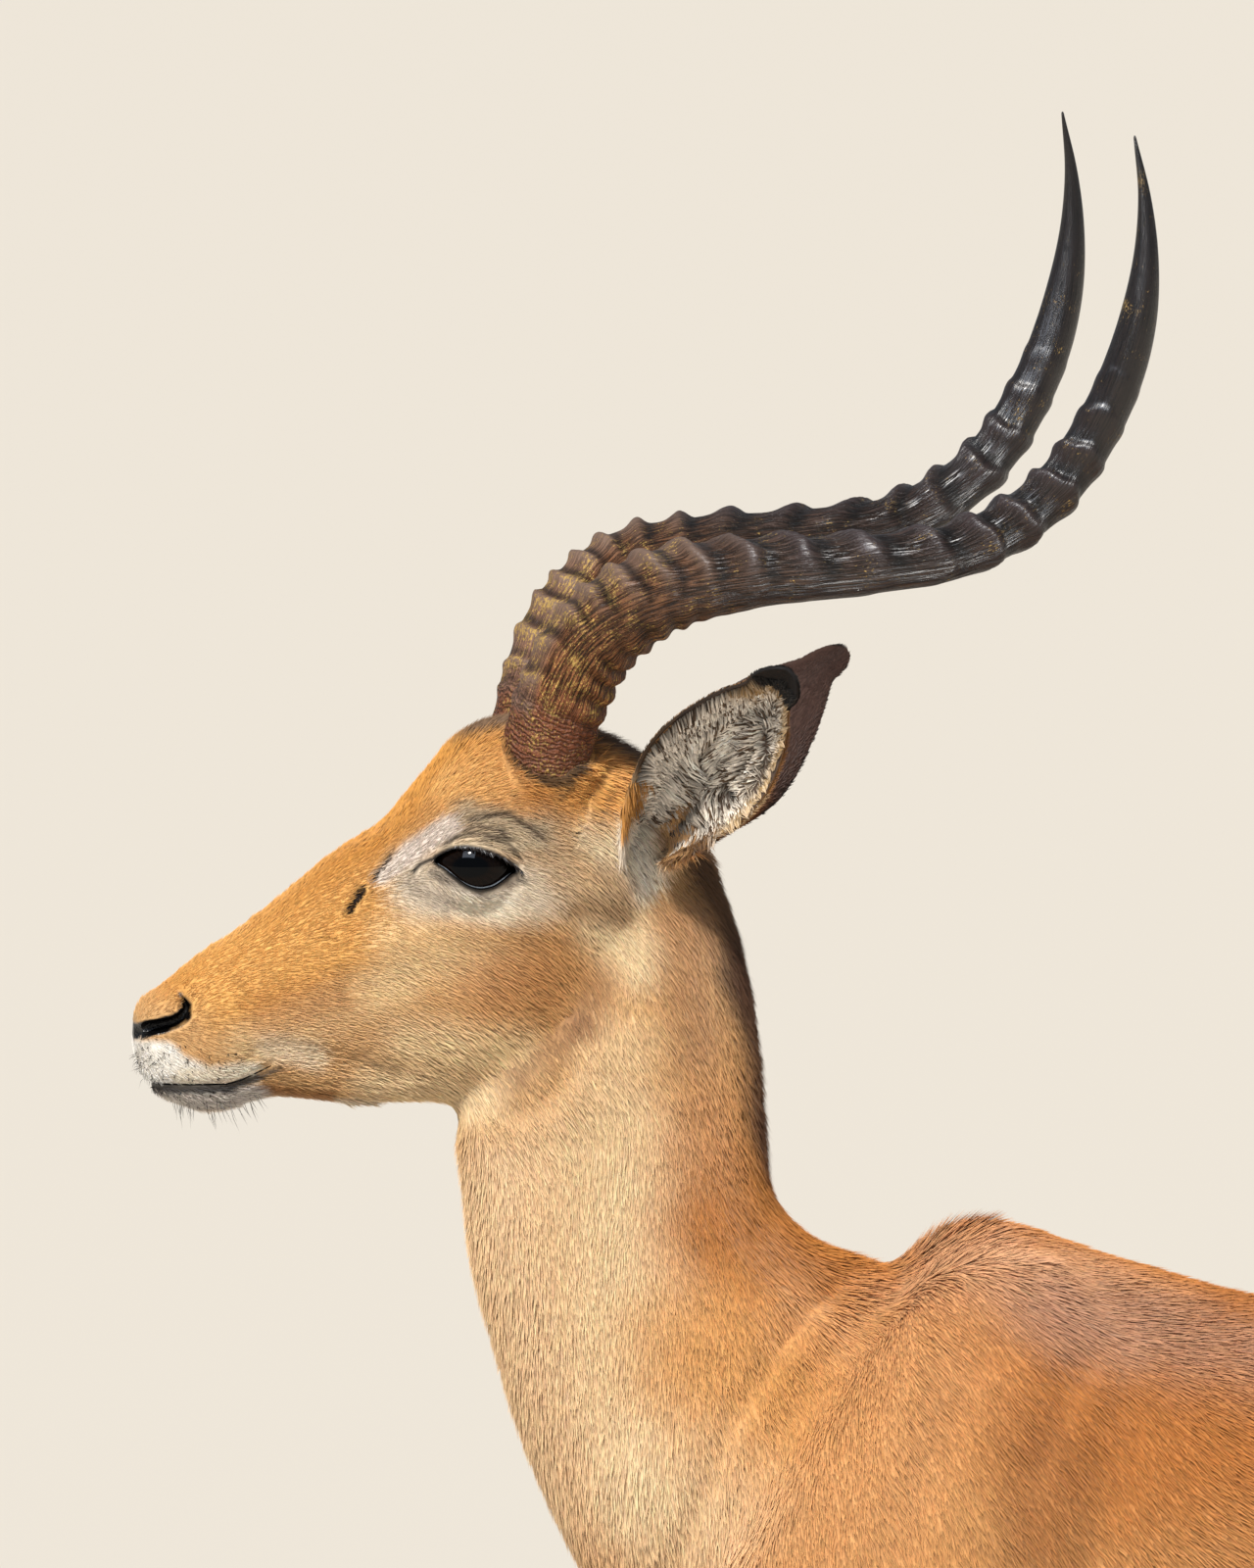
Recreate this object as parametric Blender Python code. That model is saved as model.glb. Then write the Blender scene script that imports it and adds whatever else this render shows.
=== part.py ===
"""A standing impala ram at life size: head, neck, trunk, tail, legs, hooves, ears, eyes and horns.

Every fleshy piece is a loft: a row of closed rings, each ring given by its lower or front point A and its
upper or rear point B in the side view, and by its half width. The ram looks along -X, its left side is -Y,
and its hooves stand on Z = 0. Where two pieces meet, the lesser one is cut back 0.3 mm clear of the other.
"""

import math

import bmesh
import bpy
import numpy as np

# Driving dimensions, in metres.
GAP = 0.0003  # clearance between neighbouring pieces
EYE_RADIUS = 0.019
EYE_CENTRE = (-0.4035, 0.0395, 1.0690)
MOUTH_GAPE = 0.0012
HORN_RADIUS = 0.0215
HORN_RIDGES = 17
RIDGE_HEIGHT = 0.0016
EAR_LENGTH = 0.150
EAR_HALF_WIDTH = 0.0405  # half the width of the ear's skin, laid out flat
EAR_THICKNESS = 0.0035
EAR_ROLL = (125, 40)  # how far each half of the ear curls round, at the root and at the tip, in degrees
CROWN_HEIGHTS = (0.0560, 0.0400)  # top edge of a hoof, at the toe and at the heel
TOE_REACH = 0.022  # how far the toe stands out before the crown
CLEFT = 0.0008  # half the gap between the two claws at the crown
STRIDE = {  # how far each foot is set back from square
    ("foreleg", "left"): 0.010,
    ("hindleg", "left"): 0.016,
    ("foreleg", "right"): -0.022,
    ("hindleg", "right"): -0.034,
}
SWING_HEIGHT = 0.60  # a leg swings to its stride from this height down
SIDES = {"left": -1.0, "right": 1.0}  # sign of y

for leftover in list(bpy.data.objects):
    bpy.data.objects.remove(leftover)


# ---------------------------------------------------------------- materials
def material(name, colour, roughness):
    made = bpy.data.materials.new(name)
    made.use_nodes = True
    shader = made.node_tree.nodes["Principled BSDF"]
    shader.inputs["Base Color"].default_value = (*colour, 1.0)
    shader.inputs["Roughness"].default_value = roughness
    shader.inputs["Metallic"].default_value = 0.0
    return made


FAWN = material("fawn coat", (0.52, 0.27, 0.11), 0.85)
RUFOUS = material("rufous coat", (0.42, 0.19, 0.07), 0.85)
WHITE = material("white hair", (0.75, 0.70, 0.62), 0.9)
HORN = material("ridged horn", (0.06, 0.04, 0.035), 0.45)
HOOF = material("hoof horn", (0.03, 0.025, 0.022), 0.4)
EYE = material("dark wet eye", (0.015, 0.01, 0.008), 0.08)


# ---------------------------------------------------------------- shaping tools
def flow(rows, shares):
    """Reads a table at shares of the way (0 to 1) along a smooth curve through its rows."""
    rows = np.array(rows, float)
    middle = (rows[:, 0:2] + rows[:, 2:4]) / 2
    stride = np.linalg.norm(np.diff(middle, axis=0), axis=1)
    travel = np.concatenate([[0.0], np.cumsum(stride)])
    slope = np.gradient(rows, travel, axis=0)
    at = np.asarray(shares) * travel[-1]
    k = np.clip(np.searchsorted(travel, at, side="right") - 1, 0, len(rows) - 2)
    span = (travel[k + 1] - travel[k])[:, None]
    u = (at - travel[k])[:, None] / span
    return (
        (1 + 2 * u) * (1 - u) ** 2 * rows[k]
        + u * (1 - u) ** 2 * span * slope[k]
        + u * u * (3 - 2 * u) * rows[k + 1]
        - u * u * (1 - u) * span * slope[k + 1]
    )


def ring(row, around):
    """A closed ring of superellipse quarters between A and B. Columns: A x, A z, B x, B z, half width,
    level of the widest point, exponent on B's side, exponent on A's side, y of the centre."""
    ax, az, bx, bz, wide, level, upper, lower, y = row
    turn = np.linspace(0.0, 2 * math.pi, around, endpoint=False)
    side, rise = np.cos(turn), np.sin(turn)
    power = np.where(rise >= 0, 2 / upper, 2 / lower)
    side = np.sign(side) * np.abs(side) ** power
    rise = np.sign(rise) * np.abs(rise) ** power
    share = np.where(rise >= 0, level + (1 - level) * rise, level + level * rise)
    return np.stack([ax + (bx - ax) * share, y + wide * side, az + (bz - az) * share], axis=1)


def even(count):
    return np.linspace(0.0, 1.0, count)


def capped(rings, start, end, steps=2):
    """Adds rounded ends to a stack of rings: each end shrinks over `steps` rings and bulges by its depth."""
    def dome(last, before, depth):
        centre = last.mean(axis=0)
        out = centre - before.mean(axis=0)
        out = out / np.linalg.norm(out) * depth
        angles = [math.pi / 2 * (i + 1) / (steps + 1) for i in range(steps)]
        return [centre + (last - centre) * math.cos(a) + out * math.sin(a) for a in angles], centre + out

    first, first_pole = dome(rings[0], rings[1], start) if start else ([], rings[0].mean(axis=0))
    final, final_pole = dome(rings[-1], rings[-2], end) if end else ([], rings[-1].mean(axis=0))
    return [*first[::-1], *rings, *final], first_pole, final_pole


def solid(name, points, faces, look):
    """A closed, smooth-shaded mesh object whose triangles all face out."""
    mesh = bpy.data.meshes.new(name)
    mesh.from_pydata([tuple(p) for p in points], [], faces)
    work = bmesh.new()
    work.from_mesh(mesh)
    bmesh.ops.recalc_face_normals(work, faces=work.faces)
    bmesh.ops.triangulate(work, faces=work.faces)
    work.to_mesh(mesh)
    work.free()
    mesh.shade_smooth()
    mesh.materials.append(look)
    made = bpy.data.objects.new(name, mesh)
    bpy.context.collection.objects.link(made)
    return made


def skin(name, rings, look, start=0.0, end=0.0):
    """One closed mesh over a stack of rings."""
    rings, first_pole, final_pole = capped(list(rings), start, end)
    count, around = len(rings), len(rings[0])
    points = np.concatenate([*rings, [first_pole, final_pole]])
    faces = []
    for i in range(count - 1):
        for j in range(around):
            k = (j + 1) % around
            faces.append((i * around + j, i * around + k, (i + 1) * around + k, (i + 1) * around + j))
    first, final = count * around, count * around + 1
    for j in range(around):
        k = (j + 1) % around
        faces.append((first, k, j))
        faces.append((final, (count - 1) * around + j, (count - 1) * around + k))
    return solid(name, points, faces, look)


def ball(name, centre, radii, tilt, look, around, rows):
    """A ball with three radii, tilted about Y."""
    work = bmesh.new()
    bmesh.ops.create_uvsphere(work, u_segments=around, v_segments=rows, radius=1.0)
    spots = np.array([v.co for v in work.verts]) * np.array(radii)
    faces = [[v.index for v in face.verts] for face in work.faces]
    work.free()
    x, y, z = spots.T
    cos, sin = math.cos(tilt), math.sin(tilt)
    turned = np.stack([cos * x + sin * z, y, cos * z - sin * x], axis=1)
    return solid(name, turned + np.array(centre), faces, look)


def helper(obj):
    """Marks a cutter, which is left out of the model."""
    obj.hide_render = True
    obj.display_type = "WIRE"
    return obj


def swell(obj, bulges):
    """Raises or sinks soft mounds on a piece. Each is (centre, reach, height), mirrored to both sides."""
    mesh = obj.data
    spots = np.array([v.co for v in mesh.vertices])
    normals = np.array([v.normal for v in mesh.vertices])
    push = np.zeros(len(spots))
    for centre, reach, height in bulges:
        offset = (np.abs(spots * (0, 1, 0)) + spots * (1, 0, 1) - np.array(centre)) / np.array(reach)
        push += height * np.exp(-(offset**2).sum(axis=1))
    spots = spots + normals * push[:, None]
    mesh.vertices.foreach_set("co", spots.ravel())
    mesh.update()


def cut(obj, cutters, clearance=GAP):
    """Cuts each cutter out of obj, after growing a copy of it by the clearance."""
    for cutter in cutters:
        grown = helper(cutter.copy())
        grown.data = cutter.data.copy()
        grown.name = f"{obj.name}_room_for_{cutter.name}"
        for vertex in grown.data.vertices:
            vertex.co = vertex.co + vertex.normal * clearance
        bpy.context.collection.objects.link(grown)
        step = obj.modifiers.new(f"cut {cutter.name}", "BOOLEAN")
        step.operation = "DIFFERENCE"
        step.solver = "EXACT"
        step.object = grown


def settle(obj):
    """Turns an object's modifiers into plain mesh, so that it can itself be a clean cutter."""
    graph = bpy.context.evaluated_depsgraph_get()
    mesh = bpy.data.meshes.new_from_object(obj.evaluated_get(graph))
    obj.modifiers.clear()
    obj.data = mesh


# ---------------------------------------------------------------- head
# Each row runs from the underside of the jaw (A) to the bridge of the nose or crown (B).
HEAD = [
    (-0.5405, 0.9560, -0.5490, 1.0110, 0.0225, 0.54, 2.2, 2.3, 0),  # nostrils and chin
    (-0.5265, 0.9508, -0.5405, 1.0190, 0.0265, 0.50, 2.2, 2.1, 0),  # upper lip
    (-0.5102, 0.9535, -0.5287, 1.0285, 0.0275, 0.48, 2.1, 1.9, 0),
    (-0.4963, 0.9570, -0.5102, 1.0405, 0.0275, 0.48, 2.0, 1.7, 0),  # corner of the mouth
    (-0.4801, 0.9557, -0.4871, 1.0585, 0.0300, 0.50, 2.0, 1.6, 0),
    (-0.4616, 0.9535, -0.4639, 1.0768, 0.0340, 0.55, 2.0, 1.6, 0),  # cheek teeth
    (-0.4431, 0.9537, -0.4440, 1.0885, 0.0390, 0.60, 2.1, 1.6, 0),  # scent gland before the eye
    (-0.4246, 0.9545, -0.4269, 1.1080, 0.0440, 0.63, 2.2, 1.7, 0),
    (-0.4061, 0.9550, -0.4061, 1.1300, 0.0480, 0.64, 2.4, 1.8, 0),  # eyes
    (-0.3870, 0.9590, -0.3800, 1.1385, 0.0490, 0.62, 2.5, 1.9, 0),  # angle of the jaw
    (-0.3700, 0.9720, -0.3520, 1.1330, 0.0470, 0.60, 2.4, 2.0, 0),  # horn bases
    (-0.3560, 0.9920, -0.3240, 1.1200, 0.0440, 0.58, 2.2, 2.0, 0),  # crown
    (-0.3440, 1.0150, -0.3050, 1.1040, 0.0400, 0.55, 2.1, 2.0, 0),  # ear roots
    (-0.3350, 1.0350, -0.2930, 1.0800, 0.0300, 0.50, 2.0, 2.0, 0),
]
HEAD_BULGES = [
    ((-0.4020, 0.050, 1.0800), (0.024, 0.03, 0.018), 0.0060),  # brow over the eye
    ((-0.3850, 0.050, 1.0520), (0.030, 0.03, 0.012), 0.0030),  # cheek bone behind the eye
    ((-0.4400, 0.038, 1.0450), (0.018, 0.02, 0.012), -0.0030),  # hollow before the eye
    ((-0.4050, 0.040, 0.9950), (0.035, 0.03, 0.025), 0.0030),  # chewing muscle
    ((-0.5520, 0.020, 1.0000), (0.012, 0.012, 0.010), 0.0030),  # wing of the nostril
    ((-0.4950, 0.028, 0.9700), (0.014, 0.02, 0.006), -0.0020),  # corner of the mouth
]


def make_head():
    rings = [ring(row, 20) for row in flow(HEAD, even(23))]
    head = skin("head", rings, FAWN, start=0.0165, end=0.012)
    swell(head, HEAD_BULGES)
    return head


def make_eye(side):
    x, y, z = EYE_CENTRE
    return ball(f"eye_{side}", (x, SIDES[side] * y, z), (EYE_RADIUS, EYE_RADIUS, EYE_RADIUS), 0.0, EYE, 14, 8)


def make_nostril(side):
    """The pit of one nostril, a flattened ball that slopes down to the front."""
    centre = (-0.5535, SIDES[side] * 0.0210, 0.9935)
    return helper(ball(f"nostril_{side}", centre, (0.0115, 0.0080, 0.0036), math.radians(-24), HOOF, 10, 6))


def make_mouth():
    """The line of the lips, a thin bent plate let in from the front as far as the corners of the mouth."""
    line = [
        (-0.585, 0.960),
        (-0.550, 0.964),
        (-0.530, 0.964),
        (-0.515, 0.9645),
        (-0.502, 0.969),
        (-0.494, 0.972),
    ]
    wide, gape = 0.032, MOUTH_GAPE / 2
    corners = ((-wide, -gape), (wide, -gape), (wide, gape), (-wide, gape))
    points = [(x, y, z + h) for x, z in line for y, h in corners]
    last = 4 * (len(line) - 1)
    faces = [(0, 1, 2, 3), (last, last + 3, last + 2, last + 1)]
    for i in range(len(line) - 1):
        for a, b in ((0, 1), (1, 2), (2, 3), (3, 0)):
            faces.append((4 * i + a, 4 * i + b, 4 * i + 4 + b, 4 * i + 4 + a))
    return helper(solid("mouth_line", points, faces, HOOF))


# ---------------------------------------------------------------- neck and trunk
# Rows run from the throat (A) to the nape (B).
NECK = [
    (-0.3580, 1.0420, -0.2880, 1.0740, 0.034, 0.50, 2.0, 2.0, 0),  # inside the head
    (-0.3700, 0.9980, -0.2725, 1.0280, 0.042, 0.52, 1.9, 2.0, 0),
    (-0.4075, 0.9510, -0.2650, 0.9850, 0.048, 0.52, 1.9, 2.0, 0),  # throat behind the jaw
    (-0.4065, 0.9150, -0.2615, 0.9450, 0.051, 0.52, 1.9, 2.0, 0),
    (-0.4020, 0.8760, -0.2570, 0.9120, 0.054, 0.50, 2.0, 2.0, 0),
    (-0.3920, 0.8400, -0.2400, 0.8930, 0.059, 0.48, 2.0, 2.0, 0),
    (-0.3790, 0.7970, -0.2080, 0.8800, 0.066, 0.45, 1.9, 2.0, 0),  # root of the neck
    (-0.3560, 0.7450, -0.1800, 0.8640, 0.076, 0.42, 1.8, 2.1, 0),
    (-0.3180, 0.6900, -0.1500, 0.8200, 0.080, 0.40, 1.8, 2.2, 0),
]

# Rows run from the brisket and belly (A) to the back (B).
TRUNK = [
    (-0.3040, 0.6500, -0.2700, 0.7700, 0.056, 0.48, 2.0, 2.2, 0),  # breast
    (-0.2720, 0.6120, -0.2250, 0.8500, 0.082, 0.42, 1.9, 2.2, 0),
    (-0.2200, 0.5800, -0.1950, 0.8870, 0.096, 0.40, 1.6, 2.2, 0),
    (-0.1600, 0.5620, -0.1580, 0.9015, 0.106, 0.42, 1.5, 2.1, 0),  # withers
    (-0.1000, 0.5560, -0.0950, 0.8830, 0.114, 0.46, 1.8, 2.0, 0),
    (-0.0300, 0.5580, -0.0300, 0.8645, 0.122, 0.48, 2.0, 2.0, 0),  # chest
    (0.0500, 0.5640, 0.0500, 0.8570, 0.127, 0.48, 2.1, 2.0, 0),
    (0.1400, 0.5780, 0.1400, 0.8620, 0.126, 0.48, 2.1, 2.0, 0),  # belly
    (0.2200, 0.6020, 0.2250, 0.8760, 0.117, 0.50, 2.1, 2.0, 0),
    (0.2900, 0.6350, 0.3050, 0.8900, 0.108, 0.55, 2.1, 2.0, 0),  # flank and loin
    (0.3600, 0.6600, 0.3850, 0.8930, 0.100, 0.60, 2.1, 2.0, 0),  # croup
    (0.4200, 0.6800, 0.4550, 0.8780, 0.086, 0.62, 2.0, 2.0, 0),
    (0.4680, 0.7050, 0.5080, 0.8440, 0.060, 0.60, 2.0, 2.0, 0),  # root of the tail
]


def make_neck():
    return skin("neck", [ring(row, 16) for row in flow(NECK, even(13))], FAWN, start=0.010, end=0.020)


def make_trunk():
    return skin("trunk", [ring(row, 18) for row in flow(TRUNK, even(16))], RUFOUS, start=0.024, end=0.030)


# ---------------------------------------------------------------- legs
# Rows run down the leg. Columns: front x, front z, rear x, rear z, half width, y.
FORELEG = [
    (-0.1960, 0.8740, -0.1240, 0.8800, 0.014, 0.036),  # top of the shoulder blade
    (-0.2300, 0.8380, -0.0980, 0.8400, 0.026, 0.058),
    (-0.2700, 0.7800, -0.0920, 0.7750, 0.034, 0.077),
    (-0.2960, 0.7200, -0.1050, 0.7050, 0.040, 0.081),  # point of the shoulder
    (-0.2850, 0.6560, -0.1150, 0.6400, 0.040, 0.077),
    (-0.2540, 0.5980, -0.1260, 0.5820, 0.034, 0.072),  # elbow
    (-0.2370, 0.5400, -0.1560, 0.5260, 0.028, 0.069),
    (-0.2280, 0.4700, -0.1740, 0.4620, 0.0225, 0.067),  # forearm
    (-0.2215, 0.4000, -0.1825, 0.3950, 0.0178, 0.066),
    (-0.2230, 0.3560, -0.1800, 0.3520, 0.0182, 0.065),  # knee
    (-0.2230, 0.3240, -0.1805, 0.3180, 0.0182, 0.065),
    (-0.2150, 0.2850, -0.1840, 0.2800, 0.0140, 0.064),
    (-0.2110, 0.2200, -0.1850, 0.2180, 0.0112, 0.063),  # cannon
    (-0.2120, 0.1520, -0.1830, 0.1480, 0.0122, 0.062),
    (-0.2160, 0.1180, -0.1760, 0.1060, 0.0160, 0.062),  # fetlock
    (-0.2270, 0.0860, -0.1880, 0.0720, 0.0150, 0.062),  # pastern
    (-0.2360, 0.0560, -0.1900, 0.0400, 0.0185, 0.062),  # crown of the hoof
]
HINDLEG = [
    (0.3100, 0.8300, 0.4400, 0.8450, 0.018, 0.056),  # hip
    (0.2680, 0.7700, 0.4950, 0.8000, 0.034, 0.066),
    (0.2480, 0.7000, 0.5230, 0.7350, 0.043, 0.071),  # thigh
    (0.2450, 0.6400, 0.5230, 0.6800, 0.045, 0.072),
    (0.2560, 0.5900, 0.5060, 0.6260, 0.041, 0.071),  # stifle
    (0.2880, 0.5400, 0.4840, 0.5760, 0.034, 0.069),
    (0.3330, 0.4900, 0.4690, 0.5240, 0.026, 0.066),  # gaskin
    (0.3760, 0.4460, 0.4680, 0.4780, 0.020, 0.064),
    (0.4080, 0.4100, 0.4820, 0.4350, 0.0165, 0.063),
    (0.4270, 0.3740, 0.4930, 0.3990, 0.0172, 0.062),  # hock
    (0.4350, 0.3360, 0.4850, 0.3460, 0.0172, 0.062),
    (0.4390, 0.2900, 0.4740, 0.2940, 0.0135, 0.062),
    (0.4410, 0.2200, 0.4690, 0.2200, 0.0112, 0.062),  # cannon
    (0.4390, 0.1520, 0.4700, 0.1480, 0.0122, 0.062),
    (0.4340, 0.1180, 0.4750, 0.1060, 0.0160, 0.062),  # fetlock
    (0.4230, 0.0860, 0.4620, 0.0720, 0.0150, 0.062),  # pastern
    (0.4130, 0.0560, 0.4590, 0.0400, 0.0185, 0.062),  # crown of the hoof
]
LEG_TABLES = {"foreleg": FORELEG, "hindleg": HINDLEG}
LEG_RINGS = 23
JOINT_RING = 12  # the ring at the knee or the hock


def make_leg(which, side):
    """Upper and lower leg, parted at the knee or hock. Returns the upper leg and the hoof's crown ring."""
    rings = []
    for ax, az, bx, bz, wide, y in flow(LEG_TABLES[which], even(LEG_RINGS)):
        points = ring((ax, az, bx, bz, wide, 0.5, 2.2, 2.2, SIDES[side] * y), 10)
        points[:, 0] += STRIDE[which, side] * np.clip(1 - points[:, 2] / SWING_HEIGHT, 0, 1)
        rings.append(points)
    upper = skin(f"{which}_{side}_upper", rings[: JOINT_RING + 1], FAWN, start=0.012)
    lower_rings = rings[JOINT_RING:]
    run = lower_rings[1].mean(axis=0) - lower_rings[0].mean(axis=0)
    lower_rings[0] = lower_rings[0] + run / np.linalg.norm(run) * GAP
    skin(f"{which}_{side}_lower", lower_rings, FAWN)
    return upper, rings[-1]


def make_hoof(which, side, claw, crown):
    """One of the two claws under a foot: a stack of D-shaped rings from the crown down to a flat sole."""
    front, rear = crown[:, 0].min(), crown[:, 0].max()
    way = SIDES[side] if claw == "outer" else -SIDES[side]
    rings = []
    for share in (0.0, 0.4, 0.8, 1.0):
        toe = front - TOE_REACH * share**0.85
        heel = rear + 0.004 * math.sin(math.pi * share) - 0.002 * share
        toe_height, heel_height = ((height - 2 * GAP) * (1 - share) for height in CROWN_HEIGHTS)
        wide = 0.0092 + 0.0016 * share
        if share == 1.0:  # the sole's edge is rounded off
            wide *= 0.94
            toe += 0.004
        points = ring((toe, toe_height, heel, heel_height, wide, 0.58, 2.6, 1.9, 0), 10)
        points[:, 1] += crown[:, 1].mean() + way * (wide + CLEFT * (1 + share))
        rings.append(points)
    return skin(f"{which}_{side}_hoof_{claw}", rings, HOOF)


# ---------------------------------------------------------------- tail
TAIL = [
    (0.4719, 0.8000, 0.4869, 0.8440, 0.016, 0.5, 2, 2, 0),  # inside the rump
    (0.5099, 0.7900, 0.5299, 0.8220, 0.0145, 0.5, 2, 2, 0),
    (0.5289, 0.7560, 0.5539, 0.7740, 0.0135, 0.5, 2, 2, 0),
    (0.5329, 0.7150, 0.5609, 0.7210, 0.0150, 0.5, 2, 2, 0),
    (0.5309, 0.6650, 0.5619, 0.6660, 0.0175, 0.5, 2, 2, 0),
    (0.5289, 0.6150, 0.5599, 0.6140, 0.0185, 0.5, 2, 2, 0),  # brush
    (0.5319, 0.5650, 0.5559, 0.5640, 0.0135, 0.5, 2, 2, 0),
    (0.5389, 0.5280, 0.5489, 0.5280, 0.0055, 0.5, 2, 2, 0),
]


def make_tail():
    return skin("tail", [ring(row, 10) for row in flow(TAIL, even(13))], WHITE, start=0.004, end=0.010)


# ---------------------------------------------------------------- horns
# Centre line of the left horn. Columns: x, z, distance from the middle plane, radius as a share.
HORN_LINE = [
    (-0.3700, 1.1020, 0.027, 1.00),  # inside the skull
    (-0.3685, 1.1230, 0.031, 1.00),
    (-0.3615, 1.1480, 0.039, 1.00),
    (-0.3465, 1.1780, 0.056, 1.00),
    (-0.3215, 1.1985, 0.084, 0.94),
    (-0.2835, 1.2085, 0.110, 0.80),
    (-0.2299, 1.2135, 0.128, 0.68),
    (-0.1822, 1.2221, 0.136, 0.62),
    (-0.1457, 1.2452, 0.141, 0.585),
    (-0.1185, 1.2849, 0.146, 0.53),
    (-0.1028, 1.3330, 0.150, 0.41),
    (-0.0998, 1.3600, 0.150, 0.28),
    (-0.1005, 1.3860, 0.149, 0.155),
    (-0.1047, 1.4130, 0.147, 0.045),
]


def make_horn(side):
    """A round bar along the centre line. Each ridge is one ring raised between two that are not."""
    ridges = 0.055 + 0.565 * even(HORN_RIDGES) ** 1.05
    valleys = (ridges[1:] + ridges[:-1]) / 2
    plain = np.array([0.0, 0.03, 0.66, 0.71, 0.76, 0.81, 0.86, 0.905, 0.945, 0.975, 1.0])
    shares = np.concatenate([ridges, valleys, plain])
    heights = np.concatenate([np.where(ridges < 0.52, 1.0, 0.4) * RIDGE_HEIGHT, 0 * valleys, 0 * plain])
    order = np.argsort(shares)
    shares, heights = shares[order], heights[order]
    path = flow([(x, z, x, z, y, share) for x, z, y, share in HORN_LINE], shares)
    centre = np.stack([path[:, 0], SIDES[side] * path[:, 4], path[:, 1]], axis=1)
    along = np.gradient(centre, shares, axis=0)
    along /= np.linalg.norm(along, axis=1, keepdims=True)
    front = np.array([-0.35, 0.0, 1.0])
    front = front - (along @ front)[:, None] * along
    front /= np.linalg.norm(front, axis=1, keepdims=True)
    across = np.cross(along, front)
    turn = np.linspace(0, 2 * math.pi, 10, endpoint=False)
    rings = []
    for i, height in enumerate(heights):
        reach = HORN_RADIUS * path[i, 5] + height * (0.6 + 0.4 * np.cos(turn))
        points = centre[i] + (reach * np.cos(turn))[:, None] * front[i]
        rings.append(points + (0.94 * reach * np.sin(turn))[:, None] * across[i])
    return skin(f"horn_{side}", rings, HORN, start=0.004, end=0.002)


# ---------------------------------------------------------------- ears
# Root, direction and facing of each ear: the left one is held out to the side, the right one is laid back.
EARS = {
    "left": ((-0.3180, -0.0290, 1.0850), (0.049, -0.110, 0.077), (-0.41, -0.64, -0.65)),
    "right": ((-0.3150, 0.0290, 1.0860), (0.102, 0.078, 0.077), (-0.02, 0.715, -0.70)),
}


def make_ear(side):
    """A cupped leaf of even thickness: rolled up at the root, widest at two fifths, with a blunt tip."""
    root, direction, facing = (np.array(v, float) for v in EARS[side])
    direction /= np.linalg.norm(direction)
    facing -= (facing @ direction) * direction
    facing /= np.linalg.norm(facing)
    across = np.cross(direction, facing)
    rows, columns = 11, 7
    points = []
    for depth in (-EAR_THICKNESS / 2, EAR_THICKNESS / 2):
        for u in even(rows):
            taper = (1 - u**3.2) ** 0.9 + 0.22 * math.exp(-(((u - 0.91) / 0.06) ** 2))
            half = EAR_HALF_WIDTH * (0.6 + 0.4 * math.sin(math.pi * min(u / 0.84, 1.0))) * taper
            half = max(half, EAR_THICKNESS)
            roll = math.radians(np.interp(u, (0.0, 0.75), EAR_ROLL))
            radius = half / roll
            spine = root + direction * (EAR_LENGTH * u) - facing * (0.010 * math.sin(math.pi * u))
            for turn in roll * np.linspace(-1.0, 1.0, columns):
                reach = radius + depth
                sideways, lift = reach * math.sin(turn), radius - reach * math.cos(turn)
                points.append(spine + across * sideways + facing * lift)
    faces = []
    sheet = rows * columns
    for i in range(rows - 1):
        for j in range(columns - 1):
            a, b = i * columns + j, i * columns + j + 1
            c, d = b + columns, a + columns
            faces += [(a, b, c, d), (sheet + d, sheet + c, sheet + b, sheet + a)]
    edge = list(range(columns))
    edge += [i * columns + columns - 1 for i in range(1, rows)]
    edge += [(rows - 1) * columns + j for j in range(columns - 2, -1, -1)]
    edge += [i * columns for i in range(rows - 2, 0, -1)]
    faces += [(b, a, sheet + a, sheet + b) for a, b in zip(edge, edge[1:] + edge[:1])]
    return solid(f"ear_{side}", points, faces, FAWN)


# ---------------------------------------------------------------- putting the ram together
head = make_head()
neck = make_neck()
trunk = make_trunk()
tail = make_tail()
horns = [make_horn(side) for side in SIDES]
ears = [make_ear(side) for side in SIDES]
eyes = [make_eye(side) for side in SIDES]
pits = [make_nostril(side) for side in SIDES]
mouth = make_mouth()

uppers = {"foreleg": [], "hindleg": []}
for which in LEG_TABLES:
    for side in SIDES:
        upper, crown = make_leg(which, side)
        uppers[which].append(upper)
        for claw in ("inner", "outer"):
            make_hoof(which, side, claw, crown)

for piece in (neck, *horns, *ears):
    cut(piece, [head])
cut(head, eyes)
cut(head, [*pits, mouth], clearance=0.0)
settle(neck)
cut(trunk, [neck, *uppers["foreleg"], *uppers["hindleg"]])
cut(neck, uppers["foreleg"])
settle(trunk)
cut(tail, [trunk, *uppers["hindleg"]])
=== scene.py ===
"""A standing impala ram, dressed over its solids: one skin, a coat of tufts, eyes, horns and hooves.

The ram looks along -X, its left side is -Y, and its hooves stand on Z = 0. Sizes are in metres, and in
millimetres in the tables that say so.
"""

import math

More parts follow.
